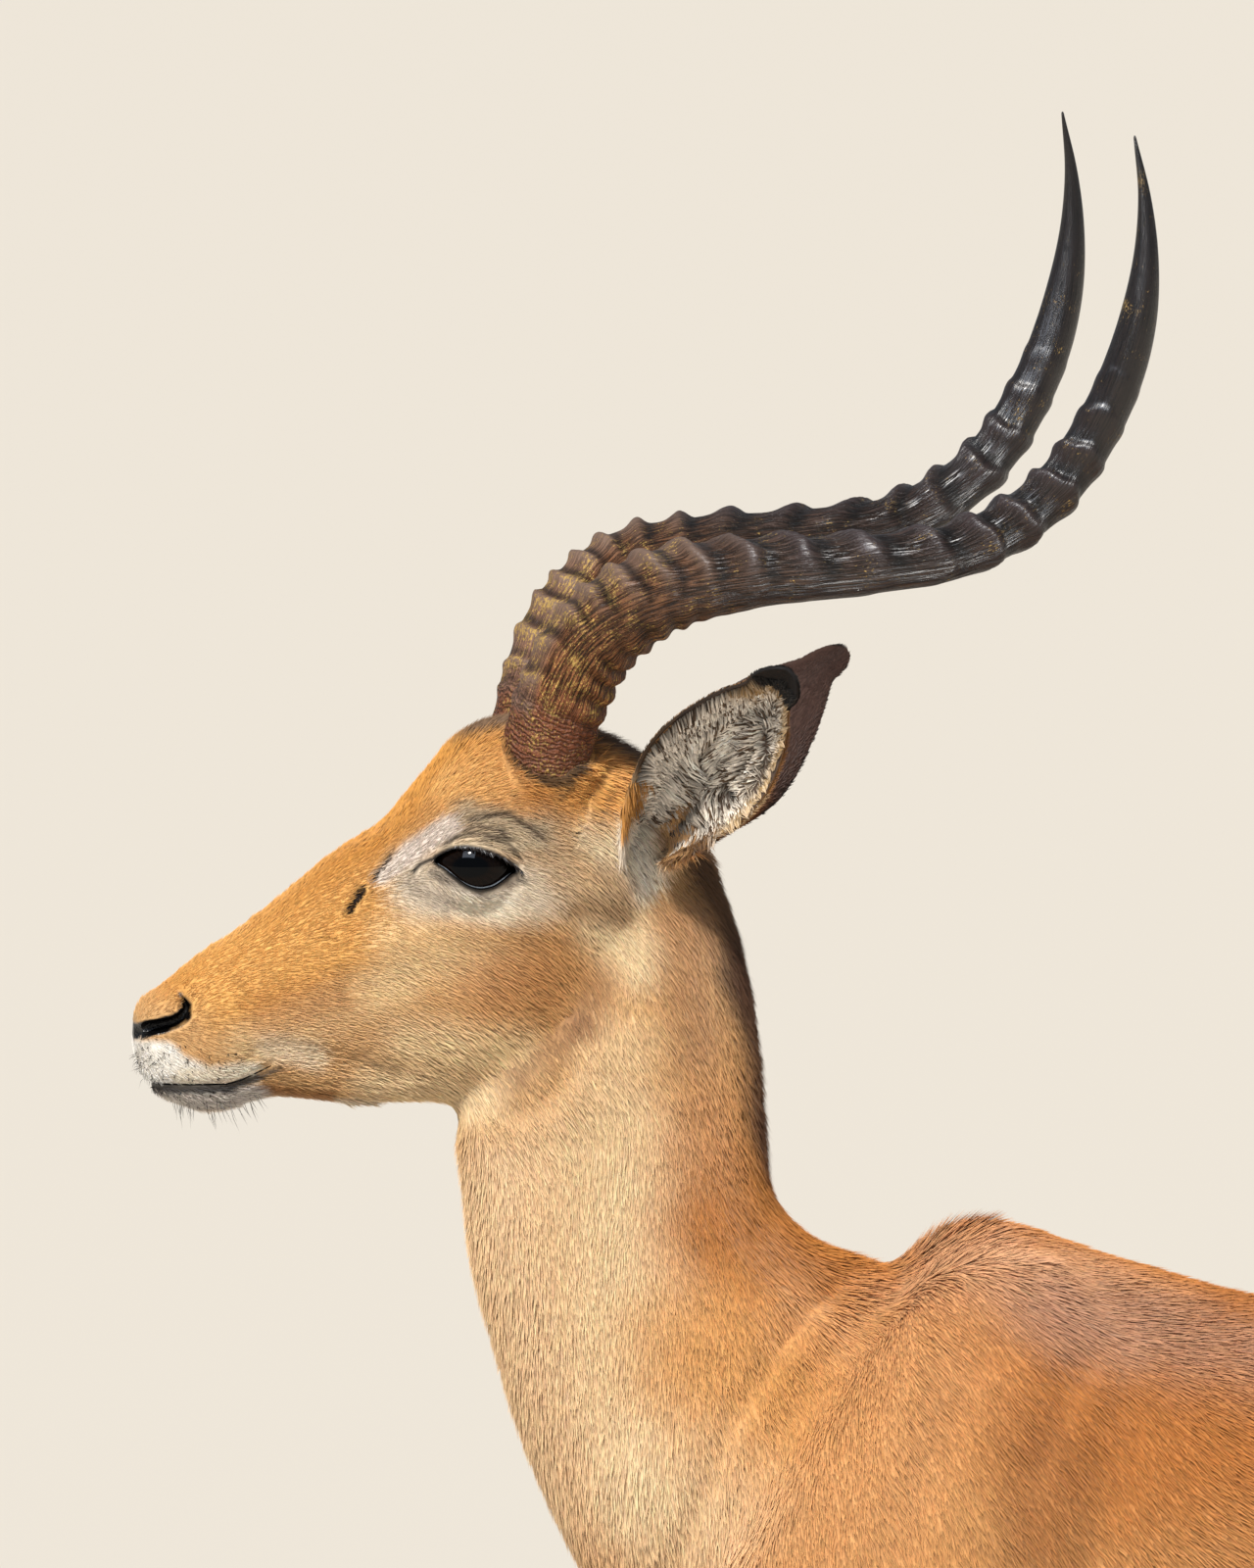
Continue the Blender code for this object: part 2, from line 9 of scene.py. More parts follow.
import bmesh
import bpy
import numpy as np
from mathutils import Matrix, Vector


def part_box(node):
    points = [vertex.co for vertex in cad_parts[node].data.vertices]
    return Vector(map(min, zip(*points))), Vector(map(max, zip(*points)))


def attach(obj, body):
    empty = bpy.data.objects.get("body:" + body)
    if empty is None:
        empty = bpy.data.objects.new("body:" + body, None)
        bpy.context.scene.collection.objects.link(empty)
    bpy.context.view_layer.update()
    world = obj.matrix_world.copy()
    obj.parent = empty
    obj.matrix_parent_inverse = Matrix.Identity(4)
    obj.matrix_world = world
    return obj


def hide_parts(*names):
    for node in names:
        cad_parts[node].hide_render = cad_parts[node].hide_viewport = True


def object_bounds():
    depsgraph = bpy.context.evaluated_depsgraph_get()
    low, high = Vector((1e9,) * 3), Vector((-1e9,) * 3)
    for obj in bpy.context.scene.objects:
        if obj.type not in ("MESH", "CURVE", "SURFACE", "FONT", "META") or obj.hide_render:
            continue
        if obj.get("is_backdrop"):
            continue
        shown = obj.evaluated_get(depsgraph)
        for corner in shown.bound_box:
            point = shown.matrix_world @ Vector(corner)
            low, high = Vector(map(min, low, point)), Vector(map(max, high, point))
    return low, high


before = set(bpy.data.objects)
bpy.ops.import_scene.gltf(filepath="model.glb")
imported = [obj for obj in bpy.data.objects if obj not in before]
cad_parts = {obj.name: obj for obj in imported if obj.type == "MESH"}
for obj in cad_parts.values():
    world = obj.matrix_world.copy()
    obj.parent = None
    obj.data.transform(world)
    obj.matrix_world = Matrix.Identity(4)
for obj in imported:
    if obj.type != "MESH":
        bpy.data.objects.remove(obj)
cad_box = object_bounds()

# ---------------------------------------------------------------- camera
# A long lens 20 m off looks at the ram's left side from a little ahead of square and a little above it.
# It takes in the head, the neck and the shoulder, and the horns almost touch the top of the frame.
AZIMUTH, ELEVATION, DISTANCE = math.radians(-6.0), math.radians(3.1), 20
LOOK_AT = np.array((-0.3275, 0.0, 1.105))
lens = bpy.data.cameras.new("long lens")
lens.sensor_fit, lens.sensor_width, lens.lens = "AUTO", 36.0, 978.0
lens.clip_start, lens.clip_end = 0.1, 1000.0
camera = bpy.data.objects.new("camera", lens)
bpy.context.scene.collection.objects.link(camera)
bpy.context.scene.camera = camera
level = math.cos(ELEVATION)
sight = np.array((level * math.sin(AZIMUTH), -level * math.cos(AZIMUTH), math.sin(ELEVATION)))
camera.location = LOOK_AT + DISTANCE * sight
camera.rotation_euler = (math.pi / 2 - ELEVATION, 0.0, AZIMUTH)

# ---------------------------------------------------------------- flesh of the head, neck and trunk
# The body under the coat. Each part is a row of closed rings. A ring is given by its lower or front point A
# and its upper or rear point B (x and z), its half width, all in millimetres, then the level of its widest
# point and an exponent for B's side and one for A's side. The parts overlap and are made one skin later.


def metres(rows, lengths):
    """A table as an array, with its first columns turned from millimetres to metres."""
    table = np.array(rows, float)
    table[:, :lengths] /= 1000
    return table


HEAD = metres([
    (-540.5, 956, -549, 1011, 22.5, 0.54, 2.2, 2.3),  # nostrils and chin
    (-526.5, 950.8, -540.5, 1019, 26.5, 0.5, 2.2, 2.1),  # upper lip
    (-510.2, 953.5, -528.7, 1028.5, 27.5, 0.48, 2.1, 1.9),
    (-496.3, 957, -510.2, 1040.5, 27.5, 0.48, 2, 1.7),  # corner of the mouth
    (-480.1, 955.7, -487.1, 1058.5, 30, 0.5, 2, 1.6),
    (-461.6, 953.5, -463.9, 1076.8, 34, 0.55, 2, 1.6),  # cheek teeth
    (-443.1, 953.7, -444, 1088.5, 39, 0.6, 2.1, 1.6),  # scent gland before the eye
    (-424.6, 954.5, -426.9, 1108, 44, 0.63, 2.2, 1.7),
    (-406.1, 955, -406.1, 1130, 48, 0.64, 2.4, 1.8),  # eyes
    (-387, 959, -380, 1138.5, 49, 0.62, 2.5, 1.9),  # angle of the jaw
    (-370, 972, -352, 1133, 47, 0.6, 2.4, 2),  # horn bases
    (-356, 992, -324, 1120, 44, 0.58, 2.2, 2),  # crown
    (-344, 1015, -305, 1104, 40, 0.55, 2.1, 2),  # ear roots
    (-335, 1035, -293, 1080, 30, 0.5, 2, 2),
], 5)
NECK = metres([
    (-358, 1042, -288, 1074, 34, 0.5, 2, 2),  # inside the head
    (-370, 998, -272.5, 1028, 42, 0.52, 1.9, 2),
    (-407.5, 951, -265, 985, 48, 0.52, 1.9, 2),  # throat behind the jaw
    (-406.5, 915, -261.5, 945, 51, 0.52, 1.9, 2),
    (-402, 876, -257, 912, 54, 0.5, 2, 2),
    (-392, 840, -240, 893, 59, 0.48, 2, 2),
    (-379, 797, -208, 880, 66, 0.45, 1.9, 2),  # root of the neck
    (-356, 745, -180, 864, 76, 0.42, 1.8, 2.1),
    (-318, 690, -150, 820, 80, 0.4, 1.8, 2.2),
    (-287, 634, -145, 750, 78, 0.42, 1.9, 2.2),  # breast
], 5)
TRUNK = metres([
    (-292, 644, -262, 770, 60, 0.48, 2, 2.2),  # breast
    (-272, 612, -225, 850, 82, 0.42, 1.9, 2.2),
    (-220, 580, -195, 887, 96, 0.4, 1.6, 2.2),
    (-160, 562, -158, 901.5, 106, 0.42, 1.5, 2.1),  # withers
    (-100, 556, -95, 883, 114, 0.46, 1.8, 2),
    (-30, 558, -30, 864.5, 122, 0.48, 2, 2),  # chest
    (50, 564, 50, 857, 127, 0.48, 2.1, 2),
    (140, 578, 140, 862, 126, 0.48, 2.1, 2),  # belly
    (220, 602, 225, 876, 117, 0.5, 2.1, 2),
    (290, 635, 305, 890, 108, 0.55, 2.1, 2),  # flank and loin
    (360, 660, 385, 893, 100, 0.6, 2.1, 2),  # croup
    (420, 680, 455, 878, 86, 0.62, 2, 2),
    (468, 705, 508, 844, 60, 0.6, 2, 2),  # root of the tail
], 5)
HEAD_BULGES = [  # centre on the left side as (x, distance from the middle, z), reach, height, in millimetres
    ((-402, 50, 1080), (24, 30, 18), 6),  # brow over the eye
    ((-385, 50, 1052), (30, 30, 12), 3),  # cheek bone behind the eye
    ((-440, 38, 1045), (18, 20, 12), -3),  # hollow before the eye
    ((-405, 40, 995), (35, 30, 25), 3),  # chewing muscle
    ((-552, 20, 1000), (12, 12, 10), 3),  # wing of the nostril
    ((-495, 28, 970), (14, 20, 6), -2),  # corner of the mouth
]


def even(count):
    """Shares from 0 to 1 in even steps."""
    return np.linspace(0.0, 1.0, count)


def circle(count):
    """Angles all the way round, in even steps."""
    return np.linspace(0.0, 2 * np.pi, count, endpoint=False)


def unit(arrows):
    """Arrows of length 1."""
    return arrows / np.linalg.norm(arrows, axis=-1, keepdims=True)


def hermite(u, start, end, leaving, arriving):
    """A cubic Hermite curve at u, 0 to 1, with its slopes at both ends."""
    return (
        (1 + 2 * u) * (1 - u) ** 2 * start + u * (1 - u) ** 2 * leaving
        + u * u * (3 - 2 * u) * end - u * u * (1 - u) * arriving
    )


def flow(rows, shares):
    """A table read at shares 0 to 1 of its length: a smooth curve through its rows, whose slope at each row
    is the mean slope of its two neighbours."""
    middle = (rows[:, 0:2] + rows[:, 2:4]) / 2
    travel = np.concatenate([[0.0], np.cumsum(np.linalg.norm(np.diff(middle, axis=0), axis=1))])
    slope = np.gradient(rows, travel, axis=0)
    at = np.asarray(shares) * travel[-1]
    k = np.clip(np.searchsorted(travel, at, side="right") - 1, 0, len(rows) - 2)
    span = (travel[k + 1] - travel[k])[:, None]
    u = (at - travel[k])[:, None] / span
    return hermite(u, rows[k], rows[k + 1], span * slope[k], span * slope[k + 1])


def rings_of(table, around, y=0.0):
    """Rings of superellipse quarters: side = cos^(2/n), rise = sin^(2/n), spread between A and B so that the
    widest point is at its level. Gives an array (ring, point, xyz)."""
    ax, az, bx, bz, wide, level, upper, lower = (column[:, None] for column in table.T)
    side, rise = np.cos(circle(around))[None], np.sin(circle(around))[None]
    power = np.where(rise >= 0, 2 / upper, 2 / lower)
    side = np.sign(side) * np.abs(side) ** power
    rise = np.sign(rise) * np.abs(rise) ** power
    share = np.where(rise >= 0, level + (1 - level) * rise, level + level * rise)
    return np.stack([ax + (bx - ax) * share, y + wide * side, az + (bz - az) * share], axis=2)


def sleeve(rings, start=0.0, end=0.0, steps=6):
    """A closed tube over rings. Each end is a dome: its ring shrinks by cos(a) as it moves out by
    depth * sin(a), for a from 0 to 90 degrees. Gives points, quads and triangles as arrays."""
    a = (math.pi / 2 * np.arange(1, steps + 1) / (steps + 1))[:, None, None]

    def dome(last, before, depth):
        centre = last.mean(axis=0)
        out = unit(centre - before.mean(axis=0)) * depth
        rows = centre + (last - centre) * np.cos(a) + out * np.sin(a)
        return (rows if depth else rows[:0]), centre + out

    head, head_pole = dome(rings[0], rings[1], start)
    foot, foot_pole = dome(rings[-1], rings[-2], end)
    stack = np.concatenate([head[::-1], rings, foot])
    count, around = stack.shape[:2]
    here = np.arange(count * around).reshape(count, around)
    beside = np.roll(here, -1, axis=1)
    quads = np.stack([here[:-1], beside[:-1], beside[1:], here[1:]], axis=2).reshape(-1, 4)
    pole = np.full(around, count * around)
    caps = [
        np.stack([pole, beside[0], here[0]], axis=1),
        np.stack([pole + 1, here[-1], beside[-1]], axis=1),
    ]
    points = np.concatenate([stack.reshape(-1, 3), [head_pole, foot_pole]])
    return points, quads, np.concatenate(caps)


def put(items, field, numbers, kind=np.float32):
    """Writes a mesh's numbers from one array."""
    items.foreach_set(field, np.asarray(numbers, kind).ravel())


def array_of(items, field, width, kind=np.float32):
    """A mesh's numbers as one array, floats unless another kind is asked for."""
    numbers = np.zeros(len(items) * width, kind)
    items.foreach_get(field, numbers)
    numbers = numbers if kind is np.int32 else numbers.astype(float)
    return numbers.reshape(-1, width) if width > 1 else numbers


def mesh_of(name, points, *faces):
    """A mesh from an array of points and arrays of faces, which may be of three or four corners."""
    mesh = bpy.data.meshes.new(name)
    mesh.vertices.add(len(points))
    put(mesh.vertices, "co", points)
    faces = [f for f in faces if len(f)]
    corners = np.concatenate([f.ravel() for f in faces])
    sides = np.concatenate([np.full(len(f), f.shape[1]) for f in faces])
    mesh.loops.add(len(corners))
    put(mesh.loops, "vertex_index", corners, np.int32)
    mesh.polygons.add(len(sides))
    put(mesh.polygons, "loop_start", np.cumsum(sides) - sides, np.int32)
    mesh.update(calc_edges=True)
    return mesh


def mirrored(points):
    """Points brought to one side: x, distance from the middle plane, z."""
    return np.stack([points[:, 0], np.abs(points[:, 1]), points[:, 2]], axis=1)


def near(points, spot, reach):
    """A soft spot: exp(-|offset / reach|^2), with spot and reach in millimetres."""
    return np.exp(-(((points * 1000 - spot) / np.array(reach)) ** 2).sum(axis=1))


def swell(points, quads, triangles, bulges):
    """Soft mounds: each point moves along its normal by the height of every bulge near it."""
    mesh = mesh_of("swell", points, quads, triangles)
    normals = array_of(mesh.vertex_normals, "vector", 3)
    if np.median(((points - points.mean(axis=0)) * normals).sum(axis=1)) < 0:
        normals = -normals
    bpy.data.meshes.remove(mesh)
    push = sum(height / 1000 * near(mirrored(points), centre, reach) for centre, reach, height in bulges)
    return points + normals * push[:, None], quads, triangles


flesh = [
    swell(*sleeve(rings_of(flow(HEAD, even(90)), 80), start=0.0165, end=0.012), HEAD_BULGES),
    sleeve(rings_of(flow(NECK, even(60)), 64), start=0.010, end=0.020),
    sleeve(rings_of(flow(TRUNK, even(90)), 72), start=0.024, end=0.030),
]

# ---------------------------------------------------------------- flesh of the legs and the tail
# Rows run down the leg: front x and z, rear x and z, half width and distance from the middle plane, in
# millimetres. A leg ends in the crown of its hoof, with a short stump inside the horn to close the joint.
FORELEG = metres([
    (-196, 874, -124, 880, 14, 36),  # top of the shoulder blade
    (-230, 838, -98, 840, 26, 58),
    (-270, 780, -92, 775, 34, 77),
    (-296, 720, -105, 705, 40, 81),  # point of the shoulder
    (-285, 656, -115, 640, 40, 77),
    (-254, 598, -126, 582, 34, 72),  # elbow
    (-237, 540, -156, 526, 28, 69),
    (-228, 470, -174, 462, 22.5, 67),  # forearm
    (-221.5, 400, -182.5, 395, 17.8, 66),
    (-223, 356, -180, 352, 18.2, 65),  # knee
    (-223, 324, -180.5, 318, 18.2, 65),
    (-215, 285, -184, 280, 14, 64),
    (-211, 220, -185, 218, 11.2, 63),  # cannon
    (-212, 152, -183, 148, 12.2, 62),
    (-216, 118, -176, 106, 16, 62),  # fetlock
    (-227, 86, -188, 72, 15, 62),  # pastern
    (-236, 56, -190, 40, 18.5, 62),  # crown of the hoof
], 6)
HINDLEG = metres([
    (310, 830, 440, 845, 18, 56),  # hip
    (268, 770, 495, 800, 34, 66),
    (248, 700, 523, 735, 43, 71),  # thigh
    (245, 640, 523, 680, 45, 72),
    (256, 590, 506, 626, 41, 71),  # stifle
    (288, 540, 484, 576, 34, 69),
    (333, 490, 469, 524, 26, 66),  # gaskin
    (376, 446, 468, 478, 20, 64),
    (408, 410, 482, 435, 16.5, 63),
    (427, 374, 493, 399, 17.2, 62),  # hock
    (435, 336, 485, 346, 17.2, 62),
    (439, 290, 474, 294, 13.5, 62),
    (441, 220, 469, 220, 11.2, 62),  # cannon
    (439, 152, 470, 148, 12.2, 62),
    (434, 118, 475, 106, 16, 62),  # fetlock
    (423, 86, 462, 72, 15, 62),  # pastern
    (413, 56, 459, 40, 18.5, 62),  # crown of the hoof
], 6)
TAIL = metres([
    (471.9, 800, 486.9, 844, 16, 0.5, 2, 2),  # inside the rump
    (509.9, 790, 529.9, 822, 14.5, 0.5, 2, 2),
    (528.9, 756, 553.9, 774, 13.5, 0.5, 2, 2),
    (532.9, 715, 560.9, 721, 15, 0.5, 2, 2),
    (530.9, 665, 561.9, 666, 17.5, 0.5, 2, 2),
    (528.9, 615, 559.9, 614, 18.5, 0.5, 2, 2),  # brush
    (531.9, 565, 555.9, 564, 13.5, 0.5, 2, 2),
    (538.9, 528, 548.9, 528, 5.5, 0.5, 2, 2),
], 5)
SWING_HEIGHT = 0.60  # a leg swings to its stride from this height down
SIDES = {"left": -1.0, "right": 1.0}  # sign of y
LEGS = {  # table, side, how far the foot is set back from square
    "foreleg_left": (FORELEG, -1.0, 0.010),
    "hindleg_left": (HINDLEG, -1.0, 0.016),
    "foreleg_right": (FORELEG, 1.0, -0.022),
    "hindleg_right": (HINDLEG, 1.0, -0.034),
}
LEG_RINGS, LEG_AROUND, LEG_SECTION = 110, 40, (0.5, 2.2, 2.2)


def leg(table, side, stride):
    """A loft down the leg; x is shifted by stride * (1 - z / swing height) below the swing height."""
    shape = flow(table, even(LEG_RINGS))
    rows = np.concatenate([shape[:, :5], np.tile(LEG_SECTION, (LEG_RINGS, 1))], axis=1)
    rings = rings_of(rows, LEG_AROUND, side * shape[:, 5:])
    rings[..., 0] += stride * np.clip(1 - rings[..., 2] / SWING_HEIGHT, 0, 1)
    centre = rings[-1].mean(axis=0)
    stump = centre + (rings[-1] - centre) * 0.72 + np.array([-0.002, 0.0, -0.008])
    return sleeve(np.concatenate([rings, [stump]]), start=0.012)


flesh += [leg(*facts) for facts in LEGS.values()]
flesh.append(sleeve(rings_of(flow(TAIL, even(60)), 32), start=0.004, end=0.010))

# ---------------------------------------------------------------- ears
# Two cupped leaves of cartilage, 2 mm thick with a rounded rim, rolled up at the root, widest at two fifths
# and pointed at the tip. The left one is held out to the side, the right one is laid back.
EAR_LENGTH, EAR_HALF_WIDTH, EAR_THICKNESS, EAR_SAG = 0.150, 0.0405, 0.0022, 0.010
EARS = {  # root, direction, facing
    "left": ((-0.3180, -0.0290, 1.0850), (0.049, -0.110, 0.077), (-0.41, -0.64, -0.65)),
    "right": ((-0.3150, 0.0290, 1.0860), (0.102, 0.078, 0.077), (-0.02, 0.715, -0.70)),
}


def grade(x, start, width):
    """0 up to the start, 1 from start + width on, straight between. A minus width runs the other way."""
    return np.clip((x - start) / width, 0, 1)


def hump(x, at, reach):
    """A soft hump of height 1: exp(-((x - at) / reach)^2)."""
    return np.exp(-(((x - at) / reach) ** 2))


def ear_half(side, u):
    """Half width of an ear, and the angle that its half width is rolled through. It swells by a sine to two
    fifths, narrows by (1 - u^3.2)^0.9, and ends in half an ellipse; the left tip is broader."""
    blunt, last = {"left": (0.22, 0.54), "right": (0.0, 0.40)}[side]
    half = EAR_HALF_WIDTH * (0.6 + 0.4 * np.sin(np.pi * np.minimum(u / 0.84, 1)))
    taper = np.clip(1 - u**3.2, 0, 1) ** 0.9 + blunt * hump(u, 0.91, 0.06)
    taper = np.where(u > 0.87, last * np.sqrt(np.clip(1 - ((u - 0.87) / 0.13) ** 2, 0, 1)), taper)
    return np.maximum(half * taper, 0.0012), np.radians(np.interp(u, (0.0, 0.75), (125, 40)))


def ear_axes(side):
    """An ear's root, and its unit steps to the tip, across the leaf and out of the hollow."""
    root, direction, facing = (np.array(v, float) for v in EARS[side])
    direction = unit(direction)
    facing = unit(facing - (facing @ direction) * direction)
    return root, direction, np.cross(direction, facing), facing


def ear_at(side, u, w, depth):
    """A point of an ear. u goes from root to tip, w from rim to rim (-1 to 1), depth is above the middle of
    the cartilage on its hollow side. The leaf is bent to a circle of radius half width / roll, and its
    cartilage stands in two low folds that run from the root towards the tip."""
    root, direction, across, facing = ear_axes(side)
    half, roll = ear_half(side, u)
    half = half * (1 + 0.09 * np.clip(-w, 0, 1) * grade(u, 0, 0.2) * grade(u, 0.62, -0.2))
    radius = half / roll
    fold = 0.0022 * hump(w, 0.34, 0.10) + 0.0018 * hump(w, -0.30, 0.09)
    reach = radius - depth - fold * np.sin(np.pi * grade(u, 0, 0.75)) ** 0.7
    turn = roll * w
    spot = root + direction * (EAR_LENGTH * u)[..., None] - facing * (EAR_SAG * np.sin(np.pi * u))[..., None]
    spot = spot + across * (reach * np.sin(turn))[..., None]
    return spot + facing * (radius - reach * np.cos(turn))[..., None]


def ear_leaf(side):
    """Rings round the leaf: over its back from rim to rim, and home through its hollow side."""
    rows, columns = 60, 24
    u = 0.995 * np.sin(np.pi / 2 * even(rows)[:, None]) ** 0.9
    w = -np.cos(np.pi * np.arange(2 * columns) / columns)[None]
    way = np.sin(np.pi * (np.arange(2 * columns) + 0.5) / columns)[None]
    thick = EAR_THICKNESS / 2 * np.sign(way) * np.abs(way) ** 0.35 * (1 + 0.5 * (1 - u) ** 2)
    u, w, depth = np.broadcast_arrays(u, w, -thick)
    return sleeve(ear_at(side, u, w, depth), end=0.0005, steps=2)


# ---------------------------------------------------------------- skin
# One hide over all the flesh, with no seam. The flesh is cast as one solid at 6.4 mm, its joints are eased,
# the head is made finer, and then folds, lips, lids and muscle edges are worked into it.
CAST = 0.0064
JOINTS = [  # centre and reach of the parts that are eased further, in millimetres
    ((-290, 20, 760), (90, 150, 70)),  # neck into breast
    ((-300, 0, 660), (60, 90, 60)),
    ((-190, 40, 850), (50, 150, 50)),  # shoulder blade into withers
    ((-110, 80, 700), (50, 150, 120)),  # shoulder into ribs
    ((-160, 30, 600), (90, 60, 50)),  # armpit
    ((280, 70, 740), (70, 150, 120)),  # thigh into flank
    ((400, 50, 840), (120, 150, 50)),  # hip into croup
    ((380, 30, 650), (90, 60, 50)),  # groin
    ((500, 20, 810), (30, 60, 40)),  # root of the tail
    ((-340, 40, 1010), (50, 60, 60)),  # jaw into neck
]


def joined(parts):
    """Several sets of points and faces as one set."""
    first = np.cumsum([0] + [len(points) for points, _, _ in parts])
    points = np.concatenate([part[0] for part in parts])
    return points, *(np.concatenate([part[k] + n for part, n in zip(parts, first)]) for k in (1, 2))


def outward(points, quads, triangles):
    """Turns faces round if the volume that they enclose, the sum of a . (b x c) / 6, is below zero."""
    a, b, c = (points[np.concatenate([quads[:, :3], quads[:, [0, 2, 3]], triangles])[:, k]] for k in range(3))
    if (a * np.cross(b, c)).sum() < 0:
        quads, triangles = quads[:, ::-1], triangles[:, ::-1]
    return points, quads, triangles


def finished(obj):
    """Replaces an object's mesh by the one that its modifiers give."""
    mesh = bpy.data.meshes.new_from_object(obj.evaluated_get(bpy.context.evaluated_depsgraph_get()))
    obj.modifiers.clear()
    obj.data = mesh
    return obj


def thing(name, mesh, look=None):
    """An object at the origin with that mesh, shaded smooth."""
    made = bpy.data.objects.new(name, mesh)
    bpy.context.scene.collection.objects.link(made)
    mesh.shade_smooth()
    if look:
        mesh.materials.append(look)
    return made


def combined(obj, parts, operation):
    """Joins a closed form to an object, or cuts it out."""
    tool = thing("tool", mesh_of("tool", *parts))
    step = obj.modifiers.new("step", "BOOLEAN")
    step.operation, step.solver, step.object = operation, "MANIFOLD", tool
    finished(obj)
    bpy.data.objects.remove(tool)


def relax(points, edges, rounds, share=1.0):
    """Evens a surface out without shrinking it: each point goes half way to the mean of its neighbours,
    then 0.52 of the way back."""
    a, b = edges.T
    size = len(points)
    count = np.maximum(np.bincount(edges.ravel(), minlength=size), 1)
    for step in [0.5, -0.52] * rounds:
        total = [np.bincount(a, points[b, k], size) + np.bincount(b, points[a, k], size) for k in range(3)]
        points = points + (step * share) * ((np.stack(total) / count).T - points)
    return points


def within(points, spot, reach):
    """Which points lie inside an ellipsoid, given in millimetres."""
    return np.linalg.norm((points * 1000 - spot) / reach, axis=1) < 1


def to_line(points, line):
    """Distance in the side view (x, z) from each point to a bent line, and the share of the way along it."""
    line = np.array(line, float)
    flat = points[:, [0, 2]]
    lengths = np.linalg.norm(np.diff(line, axis=0), axis=1)
    travel = np.concatenate([[0], np.cumsum(lengths)]) / lengths.sum()
    best, share = np.full(len(points), np.inf), np.zeros(len(points))
    for i, length in enumerate(lengths):
        step = line[i + 1] - line[i]
        along = np.clip(((flat - line[i]) @ step) / length**2, 0, 1)
        gap = np.linalg.norm(flat - line[i] - along[:, None] * step, axis=1)
        closer = gap < best
        best = np.where(closer, gap, best)
        share = np.where(closer, travel[i] + along * (travel[i + 1] - travel[i]), share)
    return best, share


def spots_and_edges(mesh):
    """A mesh's points and edges as arrays."""
    return array_of(mesh.vertices, "co", 3), array_of(mesh.edges, "vertices", 2, np.int32)


skin = thing("skin", mesh_of("flesh", *joined([outward(*part) for part in flesh])))
cast = skin.modifiers.new("cast", "REMESH")
cast.mode, cast.voxel_size = "VOXEL", CAST
finished(skin)
spots, edges = spots_and_edges(skin.data)
q = mirrored(spots)
joints = np.clip(sum(near(q, *joint) for joint in JOINTS), 0, 1)[:, None]
spots = relax(relax(spots, edges, 8), edges, 40, joints)
put(skin.data.vertices, "co", spots)

work = bmesh.new()
work.from_mesh(skin.data)
for region in (  # 3 mm on the head, 1.5 mm round nose, mouth and eyes, 0.75 mm on lids, lips and nostrils
    lambda p: (p[:, 0] < -0.275) & (p[:, 2] > 0.935),
    lambda p: ((p[:, 0] < -0.485) & (p[:, 2] > 0.93))
    | within(p, (-410, 48, 1072), (44, 30, 36)) | within(p, (-457, 38, 1052), (18, 30, 18)),
    lambda p: within(p, (-406, 50, 1068), (32, 20, 18)) | within(p, (-556, 18, 992), (20, 16, 14))
    | ((np.abs(p[:, 2] - 0.9645) < 0.004) & (p[:, 0] < -0.492)),
):
    work.edges.ensure_lookup_table()
    here = mirrored(np.array([v.co for v in work.verts]))
    ends = np.array([(e.verts[0].index, e.verts[1].index) for e in work.edges])
    inside = region(here)
    chosen = [work.edges[i] for i in np.flatnonzero(inside[ends].all(axis=1))]
    bmesh.ops.subdivide_edges(work, edges=chosen, cuts=1, use_grid_fill=True)
    work.verts.index_update()
work.to_mesh(skin.data)
work.free()
spots, edges = spots_and_edges(skin.data)
spots = relax(spots, edges, 6, ((spots[:, 0] < -0.27) & (spots[:, 2] > 0.93))[:, None])
put(skin.data.vertices, "co", spots)
skin.data.update()

